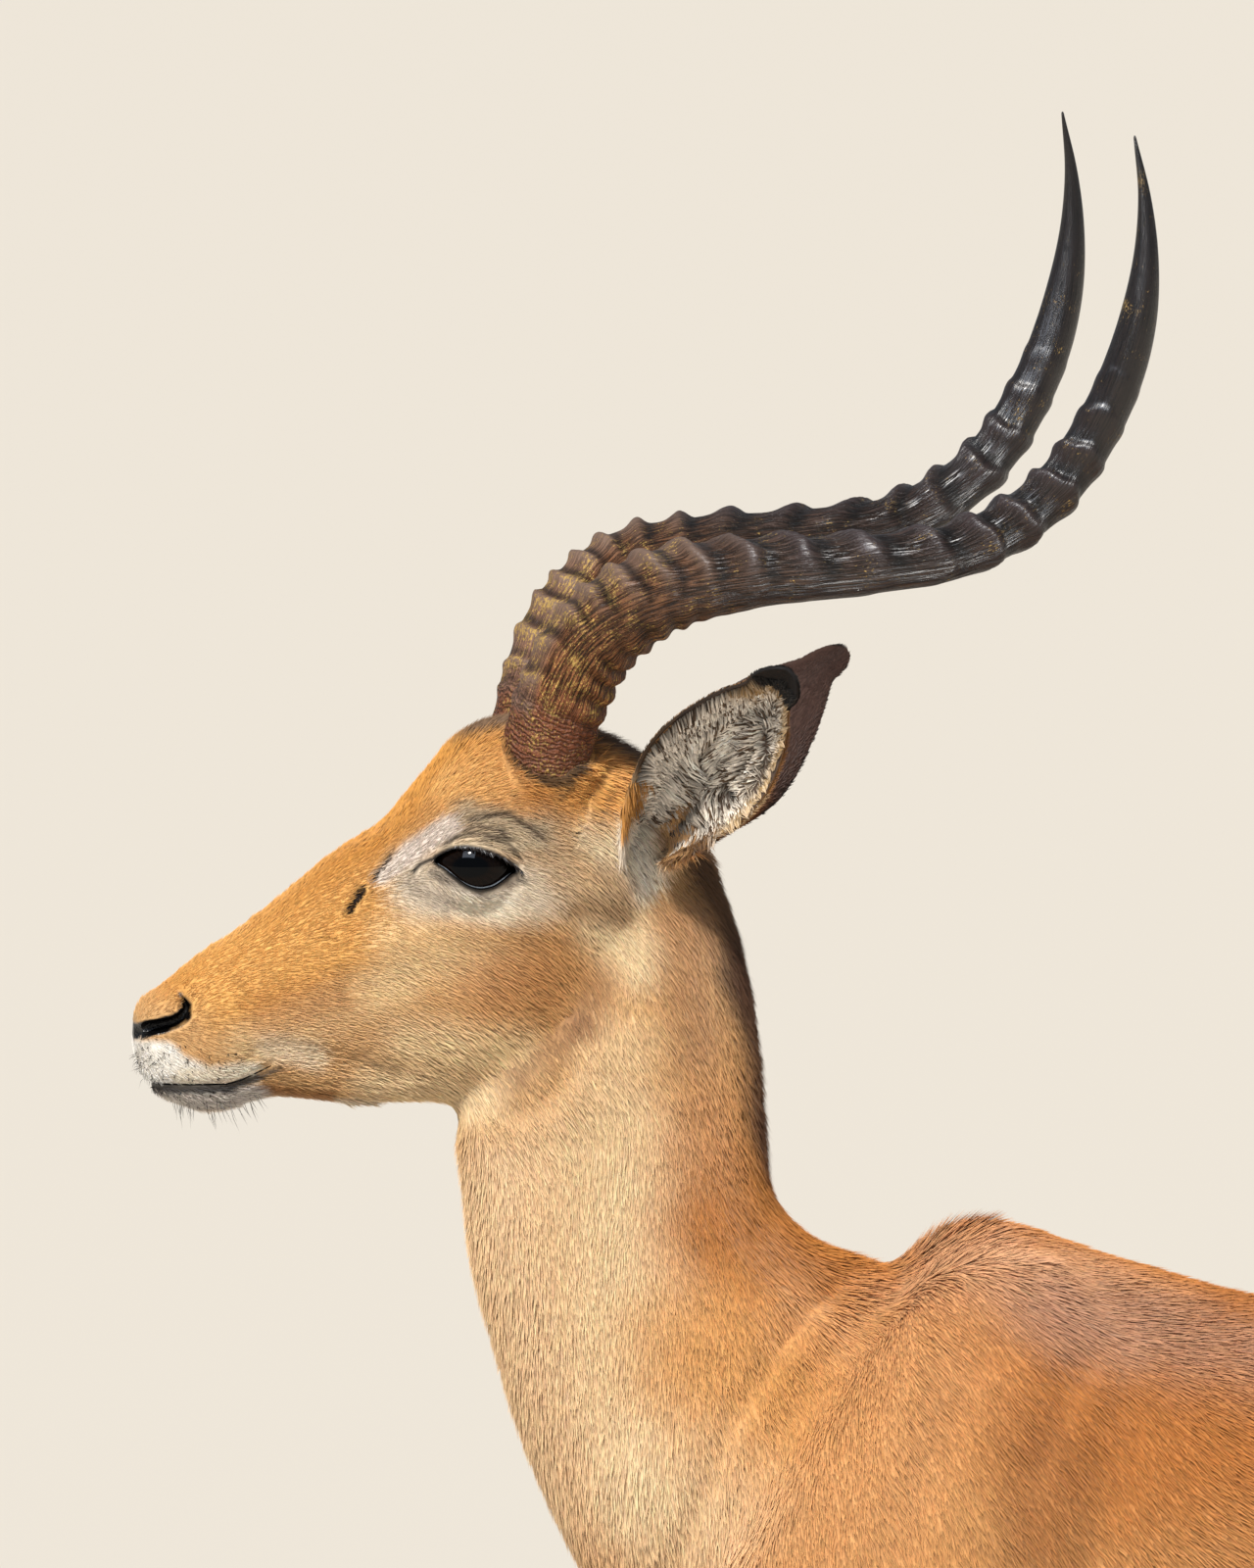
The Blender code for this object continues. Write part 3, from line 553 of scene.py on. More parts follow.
# Folds, hollows and muscle edges in the side view, in millimetres: a line as x, z, x, z and so on, its half
# width, and how deep it sinks (a minus sign raises it).
STROKES = [
    ((-210, 891, -245, 866, -286, 811, -312, 745, -322, 700), 7, 4),
    ((-107, 850, -131, 820, -149, 779, -150, 730), 12, 3.5),  # rear of the blade
    ((-190, 868, -215, 800, -238, 735, -250, 680), 10, -3),  # spine of the blade
    ((-165, 850, -190, 800, -210, 740), 9, 2),
    ((-404, 953, -388, 951, -372, 960, -356, 980), 8.5, 3),  # behind the jaw
    ((-345, 960, -350, 900, -348, 840, -335, 780), 13, 3),  # groove of the throat
    ((-300, 960, -300, 900, -290, 850), 11, 2),  # neck muscle
    ((-275, 905, -262, 885, -240, 870, -215, 850), 10, 2.2),  # folds at the neck's root
    ((-300, 895, -275, 868, -250, 845), 8, 1.8),
    ((235, 800, 245, 730, 240, 670, 262, 610), 14, 5),  # flank fold
    ((300, 850, 330, 800, 345, 740), 18, 3),  # hollow before the hip
    ((440, 860, 470, 780, 480, 700, 470, 620), 12, 3),  # thigh muscles part
    ((395, 560, 425, 500, 450, 455, 465, 420), 6, 4.5),  # before the hamstring
    ((330, 560, 370, 500, 400, 450), 8, -2),  # shin muscle
    ((452, 330, 457, 250, 458, 170), 3.5, 2.2),  # cannon and its tendon
    ((-196, 310, -196, 240, -196, 160), 3.5, 2.2),
    ((-250, 560, -225, 500, -210, 430), 6, 2),  # forearm muscles
    ((-150, 640, -175, 590, -200, 560), 9, 4),  # elbow
    # the face
    ((-462, 1047, -458, 1053.5, -454, 1058), 1.6, 3),  # slit of the scent gland
    ((-466, 1044, -462, 1052, -456, 1060), 4, -1.2),
    ((-441.7, 1074.8, -446.4, 1068.4, -451, 1062), 1.2, 1.2),
    ((-421.8, 1077, -414.9, 1082.9, -406.6, 1085.2, -397.3, 1083.7, -388.1, 1078.2, -381.2, 1071.2), 1, 1.2),
    ((-413, 1085, -406.6, 1087.7, -396, 1086.8, -387, 1081.5), 0.9, 0.8),
    ((-412, 1089.5, -406.6, 1091.2, -392.7, 1093.6, -378.9, 1087.3, -372, 1080.4), 1.4, 1.2),
    ((-405, 1081.2, -393.5, 1083.8, -386.6, 1079.2), 0.9, 0.8),
    ((-408, 1096, -392.1, 1099.2, -378.3, 1093), 2.4, 1),
    ((-350, 1126, -357.5, 1115, -363, 1107, -369, 1100), 1.8, 1.8),
    ((-350, 1107, -351.5, 1096, -355, 1085, -359.5, 1074), 1.1, 1),
    ((-342.5, 1108, -344, 1099, -347, 1088), 1, 0.8),
    ((-368, 1101, -370, 1090, -369, 1079), 2.4, 0.8),
    ((-450, 1035, -420, 1038, -385, 1040, -356, 1042), 8, -2.2),  # cheek bone
    ((-470, 1012, -435, 1015, -400, 1018), 10, 2),  # hollow of the cheek
    ((-520, 1008, -490, 1025, -470, 1038), 8, -1.5),  # upper jaw bone
    ((-515, 979, -490, 983, -460, 975, -430, 968), 6, 1.8),
]


def stroke_line(line):
    """A stroke's numbers as points in metres."""
    return np.reshape(line, (-1, 2)) / 1000


def faded(share):
    """0 at both ends of a line and 1 along its middle."""
    return np.clip(np.sin(np.pi * share) * 3, 0, 1)


def sculpt(points, normals):
    """How far each point sinks: the sum of depth * exp(-(distance / half width)^2) over the strokes, faded
    out at both ends of a line and where the skin faces up or down."""
    q = mirrored(points)
    facing = np.clip(np.abs(normals[:, 1]) * 1.6 - 0.1, 0, 1)
    sink = np.zeros(len(points))
    for line, half, depth in STROKES:
        gap, share = to_line(q, stroke_line(line))
        sink += depth / 1000 * hump(gap, 0, half / 1000) * facing * faded(share)
    return sink


def coat_depth(q):
    """How far the skin lies inside the outline: 0.7 mm on the nose, 1.2 on the face, 1.4 on the feet, 2.5 on
    the neck, 3 on the trunk and 6.5 in the brush of the tail."""
    x, z = q[:, 0], q[:, 2]
    body = 0.0030 - 0.0010 * grade(z, 0.86, 0.12) - 0.0008 * near(q, (-420, 0, 1040), (100, 9000, 80))
    body = body - 0.0012 * near(q, (-560, 0, 980), (50, 9000, 50))
    body = np.where(z < 0.50, np.interp(z, (0.30, 0.50), (0.0014, 0.0030)), body)
    return body + 0.0035 * grade(x, 0.515, 0.01) * grade(z, 0.80, -0.04) * grade(z, 0.55, 0.05)


normals = array_of(skin.data.vertex_normals, "vector", 3)
q = mirrored(spots)
spots = spots - normals * (coat_depth(q) + sculpt(spots, normals))[:, None]

# The lips round off towards the line of the mouth, and the nose leather rises round the nostrils.
MOUTH = metres([
    (-575, 964), (-552, 966), (-531, 966), (-518, 966.2), (-511, 968), (-504.4, 971), (-497, 974.5),
], 2)
NOSTRIL = metres([  # x, z, distance from the middle, half height, half width of the hole
    (-564, 988, 15, 1.6, 4),
    (-560, 990.5, 17.5, 3.4, 7),
    (-554.8, 992.7, 19, 3.6, 8),
    (-548.8, 994.1, 20.5, 3.4, 8),
    (-542.8, 995.9, 21.5, 3.2, 7),
    (-538.6, 999.1, 21.5, 3, 6),
    (-537.5, 1003.5, 21, 1.8, 5),
    (-540.2, 1008.8, 20.5, 0.5, 3),
], 5)
NOSTRIL_LINE, NOSTRIL_DEPTH, NOSTRIL_HEIGHT = NOSTRIL[:, :2], NOSTRIL[:, 2], NOSTRIL[:, 3]
gap, share = to_line(q, MOUTH)
spots -= normals * (0.0016 * grade(q[:, 0], -0.494, -0.004) * hump(gap, 0, 0.0022))[:, None]
gap, share = to_line(q, NOSTRIL_LINE)
side = grade(q[:, 1], 0.004, 0.004)
spots += normals * (side * 0.0006 * hump(gap, 0.0048, 0.0024))[:, None]
spots -= normals * (side * 0.0018 * hump(gap, 0, 0.0028))[:, None]

# A collar of skin wraps the root of each horn: skin inside the horn's width is drawn out round its axis, up
# to a slanting line that is lowest on the outer side.
HORN_RADIUS, HORN_ROOT, HORN_RISE = 0.0215, (-0.3700, 0.0270, 1.1020), (0.0028, 0.0052, 0.0294)


def horn_root(q):
    """Where points lie round a horn's root: arm from its axis, distance from it, height above the slanting
    edge of the collar, and height above the root."""
    rise = unit(np.array(HORN_RISE))
    arm = q - HORN_ROOT
    height = arm @ rise
    arm = arm - height[:, None] * rise
    reach = np.maximum(np.linalg.norm(arm, axis=1), 1e-6)
    edge = 0.024 - 0.014 * np.clip(arm[:, 1] / reach, 0, 1) ** 1.5 + 0.007 * np.clip(arm[:, 0] / reach, 0, 1)
    return arm, reach, height - edge, height


def rounded(over, corner):
    """The part of a number above 0, with a soft corner: (x + sqrt(x^2 + corner^2)) / 2."""
    return 0.5 * (over + np.sqrt(over**2 + corner**2))


def drawn_out(spots, arm, reach, drawn):
    """Points moved along their arm by the drawn length, each on its own side of the head."""
    push = arm / reach[:, None] * drawn[:, None]
    push[:, 1] *= np.sign(spots[:, 1])
    return spots + push


arm, reach, above, height = horn_root(mirrored(spots))
drawn = rounded(HORN_RADIUS + 0.0008 - 0.5 * np.clip(above + 0.002, 0, None) - reach, 0.0012)
drawn *= grade(reach / HORN_RADIUS, 0.12, 0.15) * grade(height, -0.034, 0.016) * grade(above, 0.006, -0.004)
drawn *= grade(drawn, 0.020, -0.003)
spots = drawn_out(spots, arm, reach, drawn)

# Eyelids: skin that would lie within 1.6 mm of the ball is drawn out over it, with a soft corner.
low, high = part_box("eye_left")
EYE = (np.array(low) + np.array(high)) / 2 * (1, -1, 1)
EYE_RADIUS = (high[2] - low[2]) / 2
LID = 0.0016
arm = mirrored(spots) - EYE
reach = np.linalg.norm(arm, axis=1)
drawn = rounded(EYE_RADIUS + LID - reach, 0.0038) * (arm[:, 1] > -0.004) * grade(reach, 0.032, -0.010)
spots = drawn_out(spots, arm, reach, drawn)
spots = relax(spots, edges, 30, near(mirrored(spots), (-404, 52, 1049), (26, 20, 6.5))[:, None])
put(skin.data.vertices, "co", spots)
skin.data.update()
for label in EARS:
    combined(skin, outward(*ear_leaf(label)), "UNION")

# Three openings are cut in each side: between the lids, with room for the ball behind them, the nostril,
# and the mouth between the lips.
ALMOND = metres([  # edge of the lids in the side view, from the inner corner over the top
    (-423.2, 1072.2), (-418.6, 1076.3), (-411.7, 1078.6), (-403.4, 1077.8), (-394.6, 1075),
    (-387.7, 1070.6), (-384.9, 1067.6), (-388.6, 1065), (-391.9, 1062.6), (-396.5, 1060),
    (-402.5, 1059), (-408, 1060.4), (-413.1, 1063.7), (-418.6, 1068.2),
], 2)


def closed_curve(points, count):
    """A smooth closed curve through points, with the mean slope of its two neighbours at each."""
    at = np.arange(count) * len(points) / count
    k = at.astype(int)
    n = (k + 1) % len(points)
    slope = (np.roll(points, -1, axis=0) - np.roll(points, 1, axis=0)) / 2
    return hermite((at - k)[:, None], points[k], points[n], slope[k], slope[n])


def globe(centre, radius, around=64, rows=32):
    """A ball as a sleeve of rings round the y axis."""
    a = np.pi * (np.arange(1, rows)) / rows
    turn = circle(around)
    height = np.repeat(-np.cos(a)[:, None], around, axis=1)
    rings = np.stack([np.outer(np.sin(a), np.cos(turn)), height, np.outer(np.sin(a), np.sin(turn))], axis=2)
    points, quads, triangles = sleeve(rings)
    points[-2:, 1] = -1, 1
    return outward(points * radius + np.array(centre), quads, triangles)


def snake(line, heights, widths, way, around=14):
    """A closed tube along a line in (x, y, z) with an oval section: heights across the line in the side
    view, widths along y."""
    rows, high, wide = line, *(np.array(v, float)[:, None, None] for v in (heights, widths))
    if len(rows) < 20:  # a smooth curve through few points
        table = flow(np.concatenate([rows, rows[:, :1], high[:, 0], wide[:, 0]], axis=1), even(40))
        rows, high, wide = table[:, :3], table[:, 4:5, None], table[:, 5:, None]
    along = np.gradient(rows, axis=0)
    up = unit(np.stack([-along[:, 2], 0 * along[:, 1], along[:, 0]], axis=1))[:, None]
    turn = circle(around)[None, :, None]
    rings = rows[:, None] + up * high * np.cos(turn) + np.array([0, way, 0]) * wide * np.sin(turn)
    return outward(*sleeve(rings, start=float(high[0, 0, 0]), end=float(high[-1, 0, 0]), steps=3))


def blade(line, half_width, edge):
    """A flat wedge between the lips: `edge` thick at both sides, thinner towards the middle."""
    across = np.linspace(-half_width, half_width, 21)
    thick = edge / 2 * (0.35 + 0.65 * (np.abs(across) / half_width) ** 2)
    loop = np.concatenate([across, across[::-1]])
    lift = np.concatenate([thick, -thick[::-1]])
    return outward(*sleeve(np.stack([np.stack([0 * loop + x, loop, z + lift], axis=1) for x, z in line])))


cutters = [blade(MOUTH, 0.036, 0.0016)]
for way in SIDES.values():
    x, z = closed_curve(ALMOND, 96).T
    rings = [np.stack([x, 0 * x + way * deep, z], axis=1) for deep in (0.030, 0.050, 0.075)]
    cutters.append(outward(*sleeve(np.stack(rings))))
    cutters.append(globe(EYE * (1, way, 1), EYE_RADIUS + 0.0002))
    hole = np.stack([NOSTRIL[:, 0], way * NOSTRIL_DEPTH, NOSTRIL[:, 1]], axis=1)
    cutters.append(snake(hole, NOSTRIL_HEIGHT, NOSTRIL[:, 4], way))
for parts in cutters:
    combined(skin, parts, "DIFFERENCE")
tidy = bmesh.new()
tidy.from_mesh(skin.data)
bmesh.ops.triangulate(tidy, faces=tidy.faces)
tidy.to_mesh(skin.data)
tidy.free()
skin.data.shade_smooth()
skin.data.set_sharp_from_angle(angle=math.radians(50))
for node in ("head", "neck", "trunk", "tail", "ear_left", "ear_right"):
    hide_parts(node)
for label in LEGS:
    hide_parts(f"{label}_upper", f"{label}_lower")
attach(skin, "root")

# ---------------------------------------------------------------- markings
# An impala is rufous on the saddle, fawn on the sides, neck and legs, and white below and inside. The face is
# orange along the bridge, cream on the cheek and grey round the eye. Black marks the ear tips, the rump, the
# middle of the tail and the tufts over the hind heels. One table, in millimetres, paints skin and tufts; a
# few of its marks are painted shade and painted light.
MARKS = [  # from and to (x, distance from the middle plane, z), radius, softness, colour, strength
    (-100, 0, 840, 440, 0, 840, 135, 0.22, "#C27E3F", 1),  # saddle
    (-20, 0, 900, 500, 0, 890, 60, 0.6, "#A8652F", 0.7),  # along the back
    (-170, 0, 660, 340, 0, 700, 130, 0.25, "#C98C54", 0.75),  # lower flank
    (-220, 0, 530, 320, 0, 580, 72, 0.25, "#EFE6D8", 1),  # belly
    (-190, 0, 600, -200, 30, 420, 45, 0.4, "#EBDDC6", 0.9),  # inside of the forelegs
    (360, 0, 620, 430, 0, 460, 52, 0.4, "#F0E7DA", 1),  # groin
    (470, 0, 710, 450, 0, 600, 50, 0.3, "#F4EDE2", 1),
    (515, 0, 800, 520, 0, 660, 50, 0.3, "#F4EDE2", 1),  # buttocks
    (515, 0, 660, 440, 10, 570, 50, 0.3, "#F4EDE2", 1),
    (500, 55, 800, 528, 50, 660, 12, 0.5, "#1B1310", 0.95),  # stripes down the rump
    (400, 0, 890, 500, 0, 855, 14, 0.6, "#2A1A12", 0.75),  # line to the tail
    (-300, 0, 930, -220, 0, 880, 40, 0.5, "#B97838", 0.8),  # root of the neck
    (-400, 0, 950, -380, 0, 780, 50, 0.6, "#EBC9A0", 0.8),  # throat
    (-370, 40, 940, -310, 60, 780, 55, 0.6, "#EBC79C", 0.9),  # side of the neck
    (-290, 50, 960, -283, 50, 890, 18, 0.9, "#C28C60", 0.5),
    (-342, 50, 940, -330, 60, 780, 22, 0.9, "#F2D2A8", 0.9),
    (-285, 45, 900, -240, 40, 870, 30, 0.8, "#B9783A", 0.9),  # golden root of the neck
    (-295, 60, 845, -250, 70, 820, 36, 0.8, "#D79A52", 0.75),  # before the shoulder
    (-190, 30, 880, -100, 50, 872, 30, 0.8, "#DCA87E", 0.9),  # pale top of the shoulder
    (-250, 50, 862, -225, 60, 850, 18, 0.9, "#E2A66C", 0.8),
    (-188, 0, 905, -165, 0, 908, 12, 0.6, "#93552A", 0.9),  # crest of the withers
    (-95, 50, 872, 0, 60, 862, 18, 0.9, "#97623E", 0.8),
    (-130, 60, 862, -10, 80, 845, 26, 0.8, "#BB8C70", 0.8),  # greyish patch behind them
    (-200, 80, 840, -250, 100, 700, 40, 0.8, "#DDA46C", 0.75),  # shoulder
    (-140, 100, 800, -150, 100, 720, 18, 0.9, "#AE7442", 0.7),
    # the head
    (-500, 0, 1000, -340, 0, 1040, 80, 0.25, "#D3A772", 1),  # ground colour of the face
    (-305, 0, 1080, -272, 0, 1020, 30, 0.35, "#4E3628", 0.9),  # dark line down the nape: dark hair with the painted shadow of the ear and horn over it
    (-272, 0, 1020, -262, 0, 950, 26, 0.45, "#5A3E2D", 0.9),
    (-262, 0, 950, -246, 0, 900, 18, 0.7, "#6B4A33", 0.6),
    (-250, 0, 895, -225, 10, 880, 22, 0.8, "#CC8238", 0.8),
    (-530, 0, 1040, -400, 0, 1150, 40, 0.35, "#D29648", 1),  # bridge and forehead
    (-416, 45, 1104, -400, 45, 1109, 11, 0.8, "#EDB974", 0.85),
    (-515, 30, 1012, -455, 45, 1045, 20, 0.6, "#E6B066", 0.95),  # side of the nose
    (-440, 40, 1035, -395, 50, 1020, 14, 0.7, "#EBC795", 0.85),  # cream of the cheek
    (-510, 30, 985, -440, 45, 1015, 10, 0.7, "#E8C898", 0.9),
    (-390, 50, 1000, -360, 50, 1025, 22, 0.8, "#D39F66", 0.8),  # tan of the cheek
    (-435, 40, 985, -385, 45, 982, 13, 0.8, "#F0D0A2", 0.85),
    (-400, 45, 1016, -378, 45, 1020, 12, 0.9, "#BB8450", 0.6),
    (-500, 30, 984, -480, 30, 979, 6.5, 0.7, "#EAD3B4", 0.9),  # corner of the mouth
    (-345, 45, 1048, -328, 45, 1030, 16, 0.7, "#EFD5AE", 0.9),
    (-338, 45, 985, -342, 45, 955, 18, 0.9, "#EBCBA0", 0.85),  # behind the jaw
    # painted shadow of the jaw on the neck, and painted shade along the fold under the jaw
    (-346, 45, 1014, -352, 45, 998, 9, 0.9, "#A87E58", 0.7),
    (-354, 45, 996, -392, 45, 965, 6, 0.9, "#8A6040", 0.6),
    (-306, 45, 1040, -300, 45, 990, 14, 0.8, "#BC8E64", 0.8),
    (-500, 40, 999, -470, 40, 1006, 11, 0.9, "#C28648", 0.6),
    (-352, 48, 1092, -330, 45, 1065, 14, 0.7, "#EAD6B6", 0.9),  # pale hair before the ear
    (-362, 45, 1108, -330, 45, 1110, 18, 0.6, "#E9AC62", 1),  # golden temple
    (-328, 50, 1090, -325, 50, 1066, 8.5, 0.8, "#EAE0D2", 0.95),  # white before the ear
    (-344, 50, 1066, -336, 50, 1060, 7.5, 0.9, "#A8845E", 0.7),
    (-450, 30, 965, -400, 30, 960, 12, 0.7, "#E8CBA0", 0.9),  # cream under the jaw, made paler as painted light where it faces down into shade
    (-376, 48, 1102, -372, 48, 1080, 8, 0.8, "#BE8240", 0.9),  # temple
    (-363, 50, 1054.5, -335, 50, 1049, 6.5, 0.9, "#8F6A44", 0.75),  # dark hair behind the eye
    (-363, 50, 1054.5, -384, 50, 1045, 6, 0.9, "#A88258", 0.5),
    (-430, 50, 1060, -380, 50, 1059, 15, 0.6, "#E2D3BE", 0.95),  # grey round the eye
    (-374, 50, 1086, -364, 50, 1064, 9.5, 0.8, "#CBB08E", 0.9),
    # paler under the lower lid: painted light where the bulge of the lid faces down into shade
    (-414, 50, 1055.5, -392, 50, 1054.5, 5, 0.9, "#F4E8D6", 0.9),
    (-424, 50, 1054, -392, 50, 1048, 5.5, 0.9, "#F2E2CC", 0.8),
    (-434, 50, 1060.5, -420, 50, 1053.5, 5, 0.8, "#B3A596", 0.7),
    (-424, 50, 1066.5, -403, 50, 1057.5, 2.4, 0.9, "#6A6058", 0.7),  # dark under the lids
    (-403, 50, 1057.5, -385, 50, 1064, 2.4, 0.9, "#6A6058", 0.7),
    (-410, 50, 1092.5, -378, 50, 1084, 6.6, 0.7, "#BCAA90", 0.9),  # folds over the eye
    (-422, 50, 1081.5, -384, 50, 1081.5, 5.2, 0.6, "#D0BC9F", 0.95),  # upper lid
    (-448, 45, 1062.8, -435, 50, 1073.5, 3.6, 0.5, "#DDD0C6", 0.95),  # pale streak before it
    (-435, 50, 1073.5, -417, 50, 1087.5, 4.6, 0.5, "#E0D3CA", 0.95),
    (-400, 0, 1140, -335, 0, 1130, 22, 0.4, "#5B4A3E", 0.9),  # crown
    (-500, 20, 957, -440, 20, 952.5, 4.5, 0.5, "#D9CCB8", 0.8),  # under the jaw
    (-503, 24, 962.5, -472, 27, 960.5, 2.8, 0.7, "#9A6636", 0.8),
    (-552, 20, 961.5, -508, 20, 959, 7.2, 0.35, "#CDC4BB", 1),  # lower lip and chin
    (-575, 20, 976.5, -550, 20, 976.5, 10, 0.25, "#FAF6F0", 1),  # upper lip
    (-556, 20, 977, -536, 20, 970.5, 7.8, 0.35, "#F6F0E7", 1),
    (-540, 20, 969.5, -508, 30, 972, 4.6, 0.5, "#EFE2CE", 0.95),
    (-556, 20, 964.8, -518, 30, 964.2, 2, 0.45, "#1E1815", 0.95),  # dark edge of the lower lip
    (-518, 30, 965, -504, 30, 969.2, 1.5, 0.45, "#1E1815", 0.95),
    (-504, 30, 969.5, -496, 30, 973, 1.2, 0.5, "#3A2D26", 0.8),
    (-462.5, 40, 1047.5, -455.5, 45, 1057.5, 2.1, 0.4, "#120D0B", 1),  # scent gland
    (-451, 45, 1062, -442, 47, 1074.5, 0.7, 0.5, "#4A382C", 0.7),
    # the legs
    (-200, 65, 380, -200, 65, 100, 42, 0.4, "#C68C57", 0.9),
    (420, 65, 410, 450, 65, 100, 50, 0.4, "#C48A55", 0.9),
    (-200, 40, 420, -200, 40, 120, 17, 0.4, "#E2CDB0", 0.9),  # paler inside
    (440, 38, 440, 450, 38, 120, 17, 0.4, "#E2CDB0", 0.9),
    (474, 62, 150, 478, 62, 105, 14, 0.4, "#15100D", 1),  # black tufts over the heels
    (-215, 62, 66, -210, 62, 45, 20, 0.5, "#8A6444", 0.6),  # crowns of the hooves
    (435, 62, 66, 437, 62, 45, 22, 0.5, "#8A6444", 0.6),
    # the tail
    (515, 0, 800, 545, 0, 530, 30, 0.2, "#F3ECE0", 1),
    (548, 0, 790, 572, 0, 560, 14, 0.4, "#1C1411", 0.9),
]
LEATHER_LINE = -0.534  # the nostrils lie in front of this x


def colour(code):
    """An sRGB hex colour as linear red, green, blue, 1."""
    value = np.array([int(code[i : i + 2], 16) for i in (1, 3, 5)]) / 255
    linear = np.where(value <= 0.04045, value / 12.92, ((value + 0.055) / 1.055) ** 2.4)
    return (*linear.tolist(), 1.0)


def tint(shade, code, cover=1.0):
    """Colours blended towards another one by each point's cover."""
    return shade + np.reshape(cover, (-1, 1)) * (np.array(colour(code)[:3]) - shade)


def to_segment(points, start, end):
    """Distance from each point to a straight piece of line, in space."""
    step = end - start
    along = np.clip(((points - start) @ step) / max(step @ step, 1e-12), 0, 1)
    return np.linalg.norm(points - start - along[:, None] * step, axis=1)


def ragged(points, size):
    """A smooth offset for each point, from sums of sines that cross at odd angles, so that no edge is
    straight."""
    x, y, z = (points / size).T
    waves = [
        np.sin(3.1 * x + 1.7 * z) + np.sin(5.3 * z - 2.9 * y + 1.0),
        np.sin(2.7 * y - 3.7 * x + 2.0) + np.sin(4.9 * x + 4.1 * z),
        np.sin(3.9 * z + 2.3 * y + 4.0) + np.sin(5.9 * x - 3.3 * z + 0.5),
    ]
    return 0.5 * np.stack(waves, axis=1)


def squared(points):
    """Points brought to the left side, with each leg moved back to square."""
    q = mirrored(points)
    stride = np.choose(2 * (points[:, 0] > 0.1) + (points[:, 1] > 0), [0.010, -0.022, 0.016, -0.034])
    q[:, 0] -= stride * np.clip(1 - q[:, 2] / SWING_HEIGHT, 0, 1)
    return q


def nostril_hole(q):
    """Distance from the line of the nostril, half height of its hole there, and whether a point is on the
    nose."""
    gap, share = to_line(q, NOSTRIL_LINE)
    return gap, np.interp(share, even(len(NOSTRIL)), NOSTRIL_HEIGHT), q[:, 0] < LEATHER_LINE


def paint(points):
    """Linear colour of the coat at each point: the ground colour, then each mark over it with a soft edge,
    1 - smoothstep of distance / radius from 1 - softness to 1 + softness."""
    q = squared(points)
    wild = np.clip((q[:, :1] + 0.36) / 0.05, 0.12, 1)  # markings are crisp on the face and vague behind it
    q = q + wild * ragged(points, 0.030) * 0.0030 + (0.3 + 0.7 * wild) * ragged(points, 0.007) * 0.0008
    shade = tint(np.zeros((len(q), 3)), "#D09A60")
    for *line, radius, soft, code, strength in MARKS:
        start, end = np.array(line[:3]) / 1000, np.array(line[3:]) / 1000
        # marks on the side of the head are measured in the side view, the others in space
        flat = line[1] >= 20 and line[0] < -260 and min(line[2], line[5]) > 945
        axes = (1, 0, 1) if flat else (1, 1, 1)
        gap = to_segment(q * axes, start * axes, end * axes)
        edge = np.clip((gap * 1000 / radius - 1 + soft) / (2 * soft), 0, 1)
        cover = strength * (1 - edge * edge * (3 - 2 * edge))
        if flat and line[1] >= 40:
            cover *= grade(q[:, 1], 0.015, 0.010)
        shade = tint(shade, code, cover)
    _, reach, above, _ = horn_root(mirrored(points))
    ring = grade(above, -0.0028, 0.0016) * grade(reach, HORN_RADIUS + 0.004, -0.002)
    shade = tint(shade, "#2E2420", 0.85 * ring)
    gap, hole, front = nostril_hole(q)
    shade = tint(shade, "#060505", grade(gap, hole + 0.0010, -0.0008) * front)
    head = np.flatnonzero((q[:, 0] < -0.34) & (q[:, 2] > 1.0) & (q[:, 1] > 0.02))
    for line, half, depth in STROKES:  # the narrow creases of the face are painted darker at the bottom: painted shade in the folds
        if half < 2.2 and depth > 0:
            gap, share = to_line(q[head], stroke_line(line))
            shade[head] = tint(shade[head], "#3A2A20", 0.80 * hump(gap, 0, half / 1000) * faded(share))
    return shade


def plug(tree, node, settings):
    """Gives a node its settings (attribute or input: value) and its links (input: output socket, or a node
    that stands for its first output in use)."""
    for name, value in settings.items():
        if isinstance(value, bpy.types.Node):
            value = next(socket for socket in value.outputs if socket.enabled)
        if isinstance(value, bpy.types.NodeSocket):
            tree.links.new(value, node.inputs[name])
        elif isinstance(name, str) and hasattr(node, name):
            setattr(node, name, value)
        else:
            node.inputs[name].default_value = value
    return node


def add(tree, kind, settings={}):
    """Adds a node of that kind with its settings and links."""
    return plug(tree, tree.nodes.new("ShaderNode" + kind), settings)


def span(low, high, start=0.0, end=1.0):
    """Settings that turn low to high into start to end."""
    return {"From Min": low, "From Max": high, "To Min": start, "To Max": end}


def new_material(name):
    """An empty Principled material: gives it, its node tree and its shader."""
    made = bpy.data.materials.new(name)
    made.use_nodes = True
    return made, made.node_tree, made.node_tree.nodes["Principled BSDF"]


# Mix nodes for two colours.
BLEND, MULTIPLY = {"data_type": "RGBA"}, {"data_type": "RGBA", "blend_type": "MULTIPLY"}
# Hide under short hair: matt, with hairs about 0.6 mm apart that show as fine streaks and a fine bump.
hide, tree, shader = new_material("hide with short hair")
place = add(tree, "TexCoord").outputs["Object"]
marking = add(tree, "Attribute", {"attribute_name": "markings"})
bare = add(tree, "Attribute", {"attribute_name": "bare"}).outputs["Fac"]
grain = add(tree, "Mapping", {"Scale": (420, 700, 160), "Vector": place})
hairs = add(tree, "TexNoise", {"Scale": 1.0, "Detail": 3.0, "Roughness": 0.65, "Vector": grain})
tone = add(tree, "MapRange", {**span(0.3, 0.7, 0.62, 1.05), "Value": hairs})
streaked = add(tree, "Mix", {**MULTIPLY, 0: 1.0, 6: marking, 7: tone})
wet = add(tree, "MapRange", {**span(0.0, 1.0, 0.85, 0.32), "Value": bare})
leather = add(tree, "TexVoronoi", {"Scale": 900.0, "Vector": place})
relief = add(tree, "Mix", {"data_type": "FLOAT", 0: bare, 2: hairs, 3: leather})
